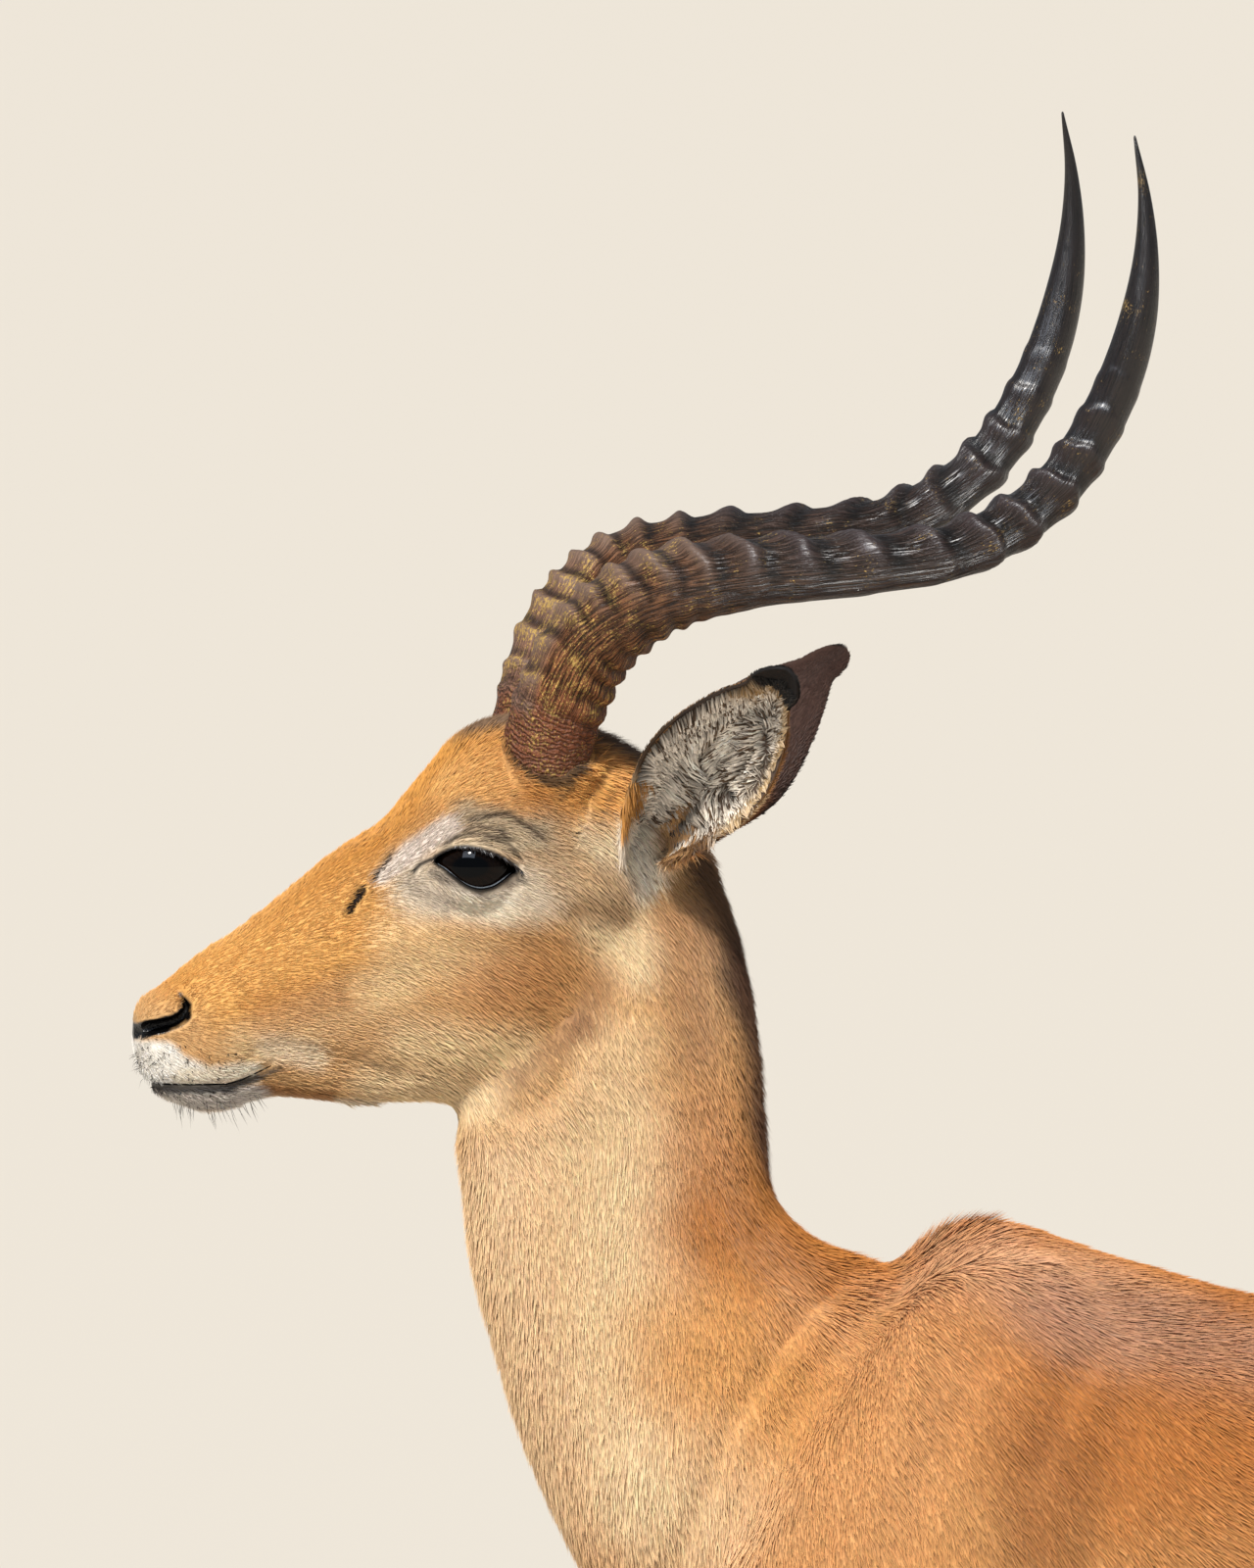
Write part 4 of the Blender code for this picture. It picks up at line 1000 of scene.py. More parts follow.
bump = add(tree, "Bump", {"Strength": 0.6, "Distance": 0.0006, "Height": relief})
plug(tree, shader, {"Base Color": streaked, "Roughness": wet, "Normal": bump, "Specular IOR Level": 0.3})


def plain(code, count):
    """One colour for many points."""
    return np.tile(colour(code)[:3], (count, 1))


def ear_place(side, points):
    """The inverse of ear_at: the share u from root to tip, w from rim to rim, and whether a point is on the
    leaf and on its hollow side."""
    root, direction, across, facing = ear_axes(side)
    u = np.clip(((points - root) @ direction) / EAR_LENGTH, 0, 0.999)
    half, roll = ear_half(side, u)
    radius = half / roll
    arm = points - root - direction * (EAR_LENGTH * u)[:, None]
    arm = arm + facing * (EAR_SAG * np.sin(np.pi * u))[:, None]
    sideways, lift = arm @ across, arm @ facing
    turn = np.arctan2(sideways, radius - lift)
    depth = radius - np.hypot(sideways, radius - lift)
    on = (u > 0.10) & (np.abs(depth) < 0.0065) & (np.abs(turn) < roll * 1.12)
    return u, turn / roll, on, on & (depth > 0.0002)


def paint_ear(side, u, w, hollow):
    """Colour on an ear: the back is orange at the root and dark brown beyond, or fawn on the ear held out;
    the hollow is dark grey skin; the tip is black and so is a thin line along the front rim."""
    low, high, black = {"left": ("#B97A3C", "#A98055", 0.835), "right": ("#A5652F", "#4A342C", 0.97)}[side]
    shade = tint(plain(low, len(u)), high, grade(u, 0.22, 0.2))
    shade = tint(shade, "#CDB797", grade(-w, 0.30, 0.2) * grade(u, 0.38, -0.1) * (side == "left"))
    shade = tint(shade, "#5A4A40", hollow)
    tip = grade(u, black - 0.03 * w, 0.02)
    rim = 0.9 * grade(np.abs(w), 0.965, 0.02) * grade(u, 0.25, 0.1) * ((w < 0) | (side == "right"))
    return tint(shade, "#120C0A", np.maximum(tip, rim))


def paint_hide(points):
    """The coat's colour everywhere, with that of the ears on the ears."""
    shade = paint(points)
    for side in EARS:
        u, w, on, hollow = ear_place(side, points)
        share = (grade(u, 0.10, 0.12) * on)[:, None]
        shade = shade * (1 - share) + paint_ear(side, u, w, hollow) * share
    return shade


def lid_gap(q):
    """Distance in the side view from each point to the edge of the lids, and 1 m where the skin isn't near
    them."""
    edge = closed_curve(ALMOND, 64)
    gap = to_line(q, np.concatenate([edge, edge[:1]]))[0]
    close = np.linalg.norm(q - EYE, axis=1) < EYE_RADIUS + 0.006
    return np.where(close & (q[:, 1] > 0.03), gap, 1.0)


def bareness(points):
    """1 on bare skin, 0 on hair: nose leather, the inside of the mouth, and the rims of the lids."""
    q = mirrored(points)
    gap, hole, front = nostril_hole(q)
    nose = np.clip(1.5 - np.linalg.norm((q - (-0.566, 0, 0.990)) / (0.012, 0.012, 0.0075), axis=1), 0, 1)
    lips = hump(to_line(q, MOUTH)[0], 0, 0.0013) * (q[:, 0] < -0.495)
    socket = (np.linalg.norm(q - EYE, axis=1) < EYE_RADIUS + 0.0006) & (q[:, 1] > 0.035)
    return np.max([nose, (gap < hole + 0.0007) & front, lips, lid_gap(q) < 0.0011, socket], axis=0)


def coloured(mesh, shade):
    """Keeps one colour for each point of a mesh."""
    rgba = np.concatenate([shade, np.ones((len(shade), 1))], axis=1)
    put(mesh.color_attributes.new("markings", "FLOAT_COLOR", "POINT").data, "color", rgba)


points = array_of(skin.data.vertices, "co", 3)
q = mirrored(points)
from_eye = np.linalg.norm(q - EYE, axis=1)
TEAR_DUCT = ((-0.4326, 1.0664), (-0.4290, 1.0702), (-0.4250, 1.0724), (-0.4213, 1.0735))
duct = to_line(q, TEAR_DUCT)[0]
rim = np.exp(-((lid_gap(q) / 0.0016) ** 4))
rim = np.maximum(rim, hump(duct, 0, 0.0013) * (q[:, 1] > 0.03) * (from_eye < 0.034))
rim = np.maximum(rim, (from_eye < EYE_RADIUS + 0.0009) & (q[:, 1] > 0.035))
coloured(skin.data, tint(paint_hide(points), "#120D0B", rim))
put(skin.data.attributes.new("bare", "FLOAT", "POINT").data, "value", bareness(points))
skin.data.materials.clear()
skin.data.materials.append(hide)

# ---------------------------------------------------------------- coat
# Short glossy guard hairs of keratin, 3 mm long on the nose to 16 mm on the belly, in locks of a few hairs.
# Each tuft is one lock: a low ridge of three faces that rises from the skin and runs out to a point. Its
# direction, length and lift come from a comb, a set of arrows spread over the body that blend smoothly.
COMB = metres([  # x, distance from the middle plane, z; direction; length in mm; lift in degrees
    (-565, 0, 1000, 0.45, 0, 0.9, 3, 12),
    (-545, 20, 1010, 0.8, 0.1, 0.55, 3.5, 12),
    (-500, 0, 1045, 0.77, 0, 0.64, 5, 12),
    (-440, 0, 1095, 0.77, 0, 0.64, 6.5, 12),
    (-400, 0, 1135, 0.85, 0, 0.45, 8, 14),
    (-350, 0, 1130, 0.95, 0, -0.2, 12, 22),
    (-300, 0, 1095, 0.6, 0, -0.8, 11, 15),
    (-500, 28, 1015, 0.93, 0.1, 0.3, 4.5, 10),
    (-470, 35, 1045, 0.9, 0.1, 0.35, 5, 10),
    (-440, 40, 1075, 0.9, 0.1, 0.4, 5, 10),
    (-400, 45, 1105, 0.92, 0.1, 0.3, 6, 10),
    (-375, 48, 1085, 0.85, 0.1, -0.3, 6, 12),
    (-540, 22, 975, 0.85, 0.2, -0.35, 3.5, 12),
    (-530, 12, 953, 0.9, 0.1, -0.1, 5.5, 18),
    (-505, 27, 985, 0.95, 0.1, 0.05, 4.5, 10),
    (-470, 33, 1005, 0.97, 0.1, -0.05, 5, 10),
    (-430, 45, 1045, 0.92, 0.15, -0.28, 4.5, 9),
    (-395, 50, 1045, 0.9, 0.05, -0.38, 5, 9),
    (-430, 42, 1010, 0.9, 0.1, -0.35, 6, 10),
    (-390, 48, 1005, 0.8, 0, -0.55, 7, 10),
    (-440, 30, 965, 0.93, 0, -0.3, 7, 12),
    (-480, 15, 955, 0.97, 0, -0.1, 6.5, 12),
    (-400, 20, 955, 0.75, 0, -0.65, 9, 14),
    (-385, 40, 970, 0.65, 0, -0.75, 9, 12),
    (-350, 45, 1040, 0.65, 0, -0.75, 7.5, 12),
    (-320, 40, 1070, 0.5, 0, -0.85, 8, 14),
    (-330, 45, 1000, 0.35, 0, -0.95, 8.5, 12),
    (-275, 30, 1020, 0.15, 0, -1, 9, 14),
    (-265, 0, 960, 0.02, 0, -1, 12, 16),
    (-400, 0, 930, 0.04, 0, -1, 10, 14),
    (-395, 0, 850, 0.15, 0, -1, 11, 14),
    (-335, 50, 920, 0, 0, -1, 8.5, 11),
    (-300, 55, 860, 0.1, 0, -1, 9, 12),
    (-250, 45, 900, 0.25, 0, -0.95, 9.5, 13),
    (-215, 20, 885, 0.85, 0, -0.45, 12, 18),
    (-180, 0, 905, 0.95, 0, 0.2, 14, 22),
    (-135, 0, 895, 0.98, 0, -0.15, 8, 8),
    (-250, 70, 820, 0.3, 0, -0.95, 9.5, 12),
    (-330, 55, 780, 0.18, 0, -0.98, 10, 12),
    (-180, 70, 850, 0.35, 0, -0.9, 9, 10),
    (-220, 90, 740, 0.22, 0, -0.97, 9, 10),
    (-120, 90, 800, 0.5, 0, -0.85, 9, 10),
    (-80, 40, 880, 0.95, 0, -0.25, 10, 10),
    (-300, 0, 700, 0.1, 0, -1, 13, 16),
    (-240, 40, 610, 0.55, 0, -0.8, 12, 14),
    (50, 0, 860, 1, 0, 0, 11, 10),
    (300, 0, 890, 1, 0, -0.05, 11, 10),
    (-30, 110, 750, 0.8, 0, -0.6, 11, 10),
    (120, 120, 740, 0.88, 0, -0.45, 11, 10),
    (100, 90, 610, 0.95, 0, -0.25, 13, 12),
    (50, 0, 565, 1, 0, -0.05, 16, 14),
    (250, 60, 640, 0.75, 0, -0.6, 14, 14),
    (330, 90, 820, 0.75, 0, -0.65, 11, 10),
    (360, 100, 700, 0.3, 0, -0.95, 11, 10),
    (460, 50, 830, 0.7, 0, -0.7, 12, 12),
    (515, 50, 720, 0.1, 0, -1, 14, 14),
    (480, 60, 600, -0.15, 0, -1, 12, 12),
    (330, 80, 560, 0.55, 0, -0.85, 10, 10),
    (-200, 70, 560, 0.1, 0, -1, 9, 10),
    (-200, 65, 400, 0, 0, -1, 7, 10),
    (-200, 63, 200, 0, 0, -1, 6.5, 10),
    (-195, 62, 90, -0.2, 0, -1, 7, 14),
    (-210, 62, 50, -0.3, 0, -1, 8, 16),
    (400, 70, 480, 0.4, 0, -0.9, 8, 10),
    (460, 62, 370, 0.1, 0, -1, 7, 10),
    (455, 62, 200, 0, 0, -1, 6.5, 10),
    (475, 62, 125, 0, 0, -1, 16, 20),
    (440, 62, 55, -0.3, 0, -1, 8, 16),
], 3)
PATCH = 0.003  # size of each strand's own patch in the unwrap


def blended(gap, rows):
    """The mean of a table's rows for each point, weighed by 1 / gap^2."""
    weight = 1 / gap**2
    return (weight / weight.sum(axis=1, keepdims=True)) @ rows


def combed(points, normals):
    """Lie, length in metres and lift in radians of the hair at each point: the arrows weighed by
    1 / (distance^2 + 8 mm^2)^2, and the lie laid flat on the skin."""
    gap = ((squared(points)[:, None, :] - COMB[None, :, :3]) ** 2).sum(axis=2)
    mean = blended(gap + 0.008**2, COMB[:, 3:])
    lie = mean[:, :3]
    lie[:, 1] *= np.sign(points[:, 1])
    lie = lie - (lie * normals).sum(axis=1)[:, None] * normals
    return unit(lie), mean[:, 3] / 1000, np.radians(mean[:, 4])


def strands(name, corners, walls, tones, spots, at, look):
    """Many strands as one mesh: corners (strand, corner, xyz), walls as three corners of a strand, a colour
    for each corner, and its spot in the strand's patch, which lies at its place in the unwrap."""
    first = corners.shape[1] * np.arange(len(corners))[:, None]
    faces = np.concatenate([first + wall for wall in walls], axis=1).reshape(-1, 3)
    mesh = mesh_of(name, corners.reshape(-1, 3), faces)
    coloured(mesh, np.clip(tones, 0, 1).reshape(-1, 3))
    place = (at[:, None] * 0.996 + np.array(spots)[None] * PATCH).reshape(-1, 2)[faces.ravel()]
    put(mesh.uv_layers.new(name="OFBake").data, "uv", place)
    made = thing(name, mesh, look)
    mesh.shade_flat()
    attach(made, "root")
    return made


def tuft_mesh(name, roots, normals, lie, length, width, lift, shade, at, dice, look, dark=0.42, light=1.22):
    """Tufts as one mesh. Each has a left and a right root, a ridge root raised by 0.3 of its width, and a tip
    at root + length * (cos(lift) * lie + sin(lift) * normal). Colour runs from dark at the root, painted
    shade in the gaps between the tufts, to light at the tip."""
    count = len(roots)
    spin = np.radians(dice.normal(0, 7, count))[:, None]
    lie = lie * np.cos(spin) + np.cross(lie, normals) * np.sin(spin)
    across = np.cross(lie, normals)
    lift = np.clip(lift + np.radians(dice.normal(0, 3.0, count)), 0.03, 1.2)[:, None]
    length = (length * dice.uniform(0.7, 1.25, count))[:, None]
    width = (width * dice.uniform(0.75, 1.25, count))[:, None]
    base = roots - normals * 0.0005
    tip = roots + length * (np.cos(lift) * lie + np.sin(lift) * normals)
    ridge = base + lie * length * 0.12 + normals * (0.30 * width + 0.0004)
    corners = np.stack([base - across * width / 2, ridge, base + across * width / 2, tip], axis=1)
    vary = dice.normal(1.0, 0.10, count)[:, None] * (1 + dice.normal(0, 0.02, (count, 3)))
    # the dark roots are painted shade between the tufts
    tones = np.stack([dark * shade, dark * 1.15 * shade, dark * shade, light * shade], axis=1) * vary[:, None]
    walls, spots = ((0, 1, 3), (1, 2, 3), (0, 3, 2)), ((0, 0), (0.5, 0.2), (1, 0), (0.5, 1))
    return strands(name, corners, walls, tones, spots, at, look)


def unwrap(points, start, end, cell=(0.0, 0.0, 1.0, 1.0)):
    """A cylinder unwrap: the share of the way along an axis, and the angle round it, inside one cell."""
    step = np.subtract(end, start)
    length = np.linalg.norm(step)
    arm = points - start
    along = np.clip(arm @ step / length**2, 0, 0.999)
    angle = np.arctan2(arm[:, 1], arm @ np.cross(step / length, (0, 1, 0))) / (2 * np.pi) + 0.5
    return np.stack([cell[0] + cell[2] * along, cell[1] + cell[3] * angle], axis=1)


def spread(values, face, share):
    """The skin's values at a spot in each chosen triangle, given by the shares of its corners."""
    return (values[corners[face]] * share).sum(axis=1)


# Hair of keratin over air-filled pith: soft, with a low broad gloss along the lock.
hair, tree, shader = new_material("short glossy hair")
marking = add(tree, "Attribute", {"attribute_name": "markings"})
plug(tree, shader, {"Base Color": marking, "Roughness": 0.6, "Specular IOR Level": 0.22, "Sheen Weight": 0.1})

skin.data.calc_loop_triangles()
corners = array_of(skin.data.loop_triangles, "vertices", 3, np.int32)
normals = array_of(skin.data.vertex_normals, "vector", 3)
middle = points[corners].mean(axis=1)
a, b, c = (points[corners[:, k]] for k in range(3))
sizes = np.linalg.norm(np.cross(b - a, c - a), axis=1) / 2
bald = (lid_gap(q) < 0.0022) | ((duct < 0.0013) & (q[:, 1] > 0.03))
bald = np.maximum(bareness(points), bald)
x, y, z = middle.T
ears = [ear_place(side, middle) for side in EARS]
on_ear = np.any([on & (u > 0.16) for u, w, on, hollow in ears], axis=0)
on_tail = (x > 0.512) & (np.abs(y) < 0.024) & (z < 0.80) & (z > 0.5)
on_head = (z > 0.955 + (x + 0.402) * 1.21) & (z > 0.94) & (x < -0.28)
on_neck = ~on_head & (z > 0.82) & (x < -0.215)
LEG_TOP, FOOT, WAIST = 0.45, 0.03, -0.03  # heights where the leg's coat ends; x where fore and rear meet
on_fore = ~on_head & ~on_neck & (x < WAIST) & (z > LEG_TOP)
REGIONS = {  # triangles, whether in two halves, tufts per square millimetre, slimness, axis of the unwrap
    "head": (on_head, True, 0.85, 0.15, (-0.57, 0, 0.98), (-0.29, 0, 1.07)),
    "neck": (on_neck, False, 0.52, 0.115, (-0.32, 0, 1.06), (-0.31, 0, 0.80)),
    "fore": (on_fore, True, 0.36, 0.12, (-0.34, 0, 0.74), (-0.02, 0, 0.72)),
    "rear": ((x >= WAIST) & (z > LEG_TOP), True, 0.16, 0.15, (-0.04, 0, 0.72), (0.55, 0, 0.72)),
    "shanks": (z <= LEG_TOP, False, 0.34, 0.19, None, None),
}
coats = []
for label, (where, halved, *facts) in REGIONS.items():
    where = where & ~on_ear & ~on_tail
    halves = {"_left": y < 0, "_right": y >= 0} if halved else {"": True}
    coats += [(label + name, where & half, *facts) for name, half in halves.items()]
for label, where, density, slim, start, end in coats:
    dice = np.random.default_rng(sum(map(ord, label)))
    chosen = np.flatnonzero(where)
    wanted = sizes[chosen] * 1e6 * density
    face = np.repeat(chosen, np.floor(wanted + dice.random(len(chosen))).astype(int))
    share = dice.random((len(face), 2))
    share = np.where(share.sum(axis=1, keepdims=True) > 1, 1 - share, share)
    share = np.concatenate([1 - share.sum(axis=1, keepdims=True), share], axis=1)[:, :, None]
    keep = spread(bald[:, None], face, share)[:, 0] < 0.35
    roots, facing = spread(points, face, share)[keep], unit(spread(normals, face, share))[keep]
    lie, length, lift = combed(roots, facing)
    if start:
        at = unwrap(roots, start, end)
    else:  # four legs, each in its own quarter
        at = np.zeros((len(roots), 2))
        for k, foot in enumerate(((-0.2, -0.065), (-0.2, 0.065), (0.45, -0.065), (0.45, 0.065))):
            mine = ((roots[:, 0] < 0.1) == (foot[0] < 0)) & ((roots[:, 1] < 0) == (foot[1] < 0))
            cell = (k % 2 / 2, k // 2 / 2, 0.5, 0.5)
            at[mine] = unwrap(roots[mine], (*foot, LEG_TOP), (*foot, FOOT), cell)
    shade = paint_hide(roots)
    made = tuft_mesh(f"coat_{label}", roots, facing, lie, length, length * slim, lift, shade, at, dice, hair)

# ---------------------------------------------------------------- long hair of the ears and the tail
# Longer hairs that curve: grey-white ones that fill the hollow of each ear and sweep in from its rims, a
# fringe on the rims, and the white brush of the tail with its black middle.


def lock_mesh(name, roots, first, second, length, width, shade, at, dice, look, dark=0.4, light=1.15):
    """Curved locks as one mesh. Each is a three-sided spike: a root, a middle at root + 0.45 * length *
    first, and a tip at middle + 0.55 * length * second. Colour runs from dark at the root, painted shade
    between the locks, to light at the tip."""
    count = len(roots)
    length, width = (np.broadcast_to(v, count)[:, None] for v in (length, width))
    first, second = unit(first), unit(second)
    side = unit(np.cross(first, second + 0.3 * dice.normal(size=(count, 3))))
    up = np.cross(side, first)
    middle = roots + 0.45 * length * first
    tip = middle + 0.55 * length * second
    section = ((-0.5, -0.15), (0.0, 0.45), (0.5, -0.15))
    ring = lambda spot, size: [spot + width * size * (a * side + b * up) for a, b in section]
    corners = np.stack([*ring(roots, 0.8), *ring(middle, 1.0), tip], axis=1)
    vary = dice.normal(1.0, 0.12, count)[:, None, None]
    # the dark roots are painted shade between the locks
    tones = np.stack([dark * shade] * 3 + [0.9 * shade] * 3 + [light * shade], axis=1) * vary
    walls = (0, 1, 4), (0, 4, 3), (1, 2, 5), (1, 5, 4), (2, 0, 3), (2, 3, 5), (3, 4, 6), (4, 5, 6), (5, 3, 6)
    spots = (0, 0), (0.5, 0.1), (1, 0), (0, 0.5), (0.5, 0.6), (1, 0.5), (0.5, 1)
    return strands(name, corners, walls, tones, spots, at, look)


HOLLOW_COMB = np.array([  # u, w; direction in u and w; length in mm; lift in degrees
    (0.08, -0.08, -0.3, 0.95, 10, 18),  # below, over the notch
    (0.18, -0.41, -0.47, 0.88, 19, 26),
    (0.25, -0.39, -0.22, 0.98, 21, 26),
    (0.1, -0.85, 0.1, 1, 21, 32),  # in from the front rim
    (0.25, -0.92, -0.15, 1, 23, 30),
    (0.36, -0.74, -0.65, 0.75, 20, 24),
    (0.44, -0.81, -0.76, 0.65, 20, 24),
    (0.54, -0.78, -0.77, 0.63, 20, 22),
    (0.6, -0.63, -0.8, 0.6, 18, 20),
    (0.68, -0.57, -0.78, 0.62, 15, 18),
    (0.75, -0.45, -0.77, 0.64, 12, 15),
    (0.23, -0.04, 0.27, 0.96, 15, 16),  # into the pits
    (0.18, 0.09, 0.18, 0.98, 13, 16),
    (0.61, 0.26, -0.87, -0.49, 16, 13),  # away from the whorl
    (0.53, 0.06, -0.93, -0.36, 16, 13),
    (0.44, 0.08, -0.97, -0.23, 14, 12),
    (0.37, 0.01, -0.99, -0.13, 12, 12),
    (0.49, 0.57, -0.8, -0.59, 14, 12),
    (0.41, 0.39, -0.85, -0.53, 14, 12),
    (0.32, 0.22, -0.93, -0.38, 12, 12),
    (0.71, 0.14, 0.8, -0.6, 12, 11),
    (0.67, 0.8, 0.73, 0.68, 5, 12),  # out to the rear rim
    (0.72, 0.66, 0.92, 0.4, 8, 12),
    (0.8, 0.73, 0.97, 0.26, 7, 10),
    (0.58, 0.9, 0.79, 0.61, 4, 10),
    (0.51, 0.92, 0.54, 0.84, 4, 10),
    (0.28, 0.41, -0.41, 0.91, 12, 14),
    (0.32, 0.61, 0.41, 0.91, 10, 14),
    (0.22, 0.31, 0.12, 0.99, 12, 14),
    (0.86, -0.2, 0.95, 0.1, 6, 12),
])
PITS = (  # u, w and their reaches of the pits and gaps in the hair, where the strands are painted dark as shade
    (0.31, -0.02, 0.045, 0.13), (0.35, 0.49, 0.04, 0.10), (0.06, 0.30, 0.09, 0.16), (0.57, 0.70, 0.04, 0.04),
    (0.55, -0.24, 0.07, 0.06), (0.63, -0.22, 0.05, 0.05), (0.42, -0.10, 0.06, 0.05),
)
HOLLOW_LOCKS, CLUMPS, BACK_TUFTS, SPILL_LOCKS, TAIL_LOCKS = 7600, 300, 11000, 900, 9000
LOCK_WIDTH = 0.0008


def ear_frame(side, u, w, depth):
    """Spot on an ear with its unit steps along u and w and the normal towards the hollow, by differences."""
    spot = ear_at(side, u, w, depth)
    steps = (u + 0.004, w, depth), (u, w + 0.004, depth), (u, w, depth + 0.001)
    return spot, *(unit(ear_at(side, *step) - spot) for step in steps)


for side in EARS:
    seed, most, raised, long = {"left": (41, 1.0, 0, 1.0), "right": (42, 0.88, 12, 0.5)}[side]
    dice = np.random.default_rng(seed)
    # the hollow: strands lean together in clumps, with gaps between them and over the pits
    count, total = HOLLOW_LOCKS, HOLLOW_LOCKS + CLUMPS
    u, w = dice.uniform(0.05, 0.90 * most, total), dice.uniform(-0.97, 0.93, total) * most
    gap = ((u[:, None] - HOLLOW_COMB[:, 0]) * 2.0) ** 2 + (w[:, None] - HOLLOW_COMB[:, 1]) ** 2
    mean = blended(gap + 0.006, HOLLOW_COMB[:, 2:])
    spot, along, beside, up = ear_frame(side, u, w, EAR_THICKNESS / 2)
    run = unit(along * mean[:, 0:1] + beside * mean[:, 1:2])
    turn = dice.normal(0, 0.08, total)[:, None]
    run = run * np.cos(turn) + np.cross(up, run) * np.sin(turn)
    lift = np.radians(mean[:, 3] + raised + dice.normal(0, 4, total))[:, None]
    length = mean[:, 2] / 1000 * dice.uniform(0.75, 1.25, total) * long
    first, second = run * np.cos(lift) + up * np.sin(lift), run * np.cos(lift) - up * np.sin(lift) * 0.5
    tips = spot + length[:, None] * (0.45 * first + 0.55 * second)
    owner = (((u[:count, None] - u[count:]) * 3.7) ** 2 + (w[:count, None] - w[count:]) ** 2).argmin(axis=1)
    u, w, spot, first, length = (v[:count] for v in (u, w, spot, first, length))
    second = 0.45 * tips[:count] + 0.55 * tips[count:][owner] - spot - 0.45 * length[:, None] * first
    tone = dice.uniform(0.66, 1.10, CLUMPS)[owner][:, None]
    dark = np.max([hump(u, *spans[::2]) * hump(w, *spans[1::2]) for spans in PITS], axis=0)
    # a quarter of the strands are dark brown, painted shade between the white ones; at the front fewer are
    # dark, painted light against the shade of the rim
    pale = dice.random(count) < 0.74 + 0.18 * (w < -0.35) * (u < 0.5)
    shade = tint(plain("#66503C", count), "#FFF5E8", pale) * tone
    shade = tint(shade, "#C7A878", grade(w, 0.66, 0.20) * grade(u, 0.22, 0.08) * 0.75)
    shade = tint(shade, "#70502F", grade(w, 0.66, 0.12) * grade(u, 0.30, -0.08))
    ochre = np.maximum(grade(u, 0.75 + 0.04 * w, 0.08) * 0.80, 0.55 * dark * (u > 0.4))
    black = grade(u, 0.835 - 0.03 * w, 0.02)
    # over the pits the strands are painted dark: painted shade
    shade = tint(tint(shade, "#A88655", ochre) * (1 - 0.92 * dark[:, None]), "#0D0908", black)
    at = np.stack([u * 0.9, 0.25 + 0.2 * w], axis=1)
    size = length * (1 - 0.55 * dark) * np.where(black > 0.5, 0.8, 1)
    name = f"coat_ear_hollow_{side}"
    inner = lock_mesh(name, spot, first, second, size, LOCK_WIDTH, shade, at, dice, hair, 0.2)

    # short hair on the back, which stands out as a fringe along the rear rim only
    count = BACK_TUFTS
    u, w = dice.uniform(0.06, 0.985, count), 1 - 2 * dice.random(count) ** 1.35
    spot, along, beside, up = ear_frame(side, u, w, -EAR_THICKNESS / 2)
    edge = grade(np.abs(w), 0.80, 0.20)
    fringe = edge * (w > 0) * grade(u, 0.80, -0.10) * (side == "left")
    run = unit(along + beside * (np.sign(w) * (0.25 * edge + 0.25 * fringe))[:, None])
    shade = paint_ear(side, u, w, 0 * u)
    tan = tint(tint(plain("#B89A72", count), "#8E6030", u > 0.50), "#664528", grade(u, 0.40, -0.12))
    shade += fringe[:, None] * (tan - shade)
    at = np.stack([u * 0.9, 0.75 + 0.2 * w], axis=1)
    short = 0.0030 - 0.0012 * edge + 0.0022 * fringe
    slim, lift = 0.25 - 0.17 * fringe, np.radians(7 + 3 * fringe)
    name = f"coat_ear_back_{side}"
    outer = tuft_mesh(name, spot, -up, run, short, short * slim, lift, shade, at, dice, hair, 0.7, 1.1)
    if side == "right":
        continue

    # long pale locks that spill from the root of the ear over the side of the head
    count = SPILL_LOCKS
    u, w = dice.uniform(0.0, 0.30, count), dice.uniform(-1.1, -0.60, count)
    spot, along, beside, up = ear_frame(side, u, w, -EAR_THICKNESS / 2)
    down = np.array([0.16, 0.10 * SIDES[side], -1.0]) + dice.normal(0, 0.10, (count, 3))
    at = np.stack([u * 3, 0.25 + 0.2 * w], axis=1)
    white = tint(plain("#E2D5C4", count), "#C48C48", grade(u, 0.10, 0.05))
    white = white * dice.uniform(0.7, 1.0, (count, 1))
    size = dice.uniform(0.008, 0.015, count)
    first, second = down - 0.35 * up, down - 0.1 * up
    name = f"coat_ear_root_{side}"
    spill = lock_mesh(name, spot, first, second, size, LOCK_WIDTH, white, at, dice, hair, 0.3)

# The tail: hairs 12 to 45 mm long that hang from the dock.
dice = np.random.default_rng(7)
chosen = np.flatnonzero(on_tail)
face = dice.choice(chosen, TAIL_LOCKS, p=sizes[chosen] / sizes[chosen].sum())
share = dice.dirichlet((1, 1, 1), len(face))[:, :, None]
roots, facing = spread(points, face, share), spread(normals, face, share)
hang = np.array([-0.02, 0, -1.0])
down = hang - facing * hang[2] * facing[:, 2:]
height = roots[:, 2]
length = np.interp(height, (0.53, 0.60, 0.72, 0.80), (0.012, 0.045, 0.040, 0.018))
length = length * dice.uniform(0.6, 1.1, len(roots))
length = np.minimum(length, np.maximum(height - 0.522, 0.006))
first = down + facing * 0.16 + dice.normal(0, 0.05, (len(roots), 3))
second = down - facing * 0.05 + dice.normal(0, 0.06, (len(roots), 3))
shade, at = paint(roots + facing * 0.004), unwrap(roots, (0.545, 0, 0.83), (0.545, 0, 0.52))
tail_hair = lock_mesh("coat_tail", roots, first, second, length, 0.0012, shade, at, dice, hair, 0.6)

# ---------------------------------------------------------------- eyes
# A ball 38 mm across with a clear bulging cornea over a dark brown iris and a wide level pupil. The wet rims
# of the lower lids lie on it, and stiff lashes stand on the upper lids.


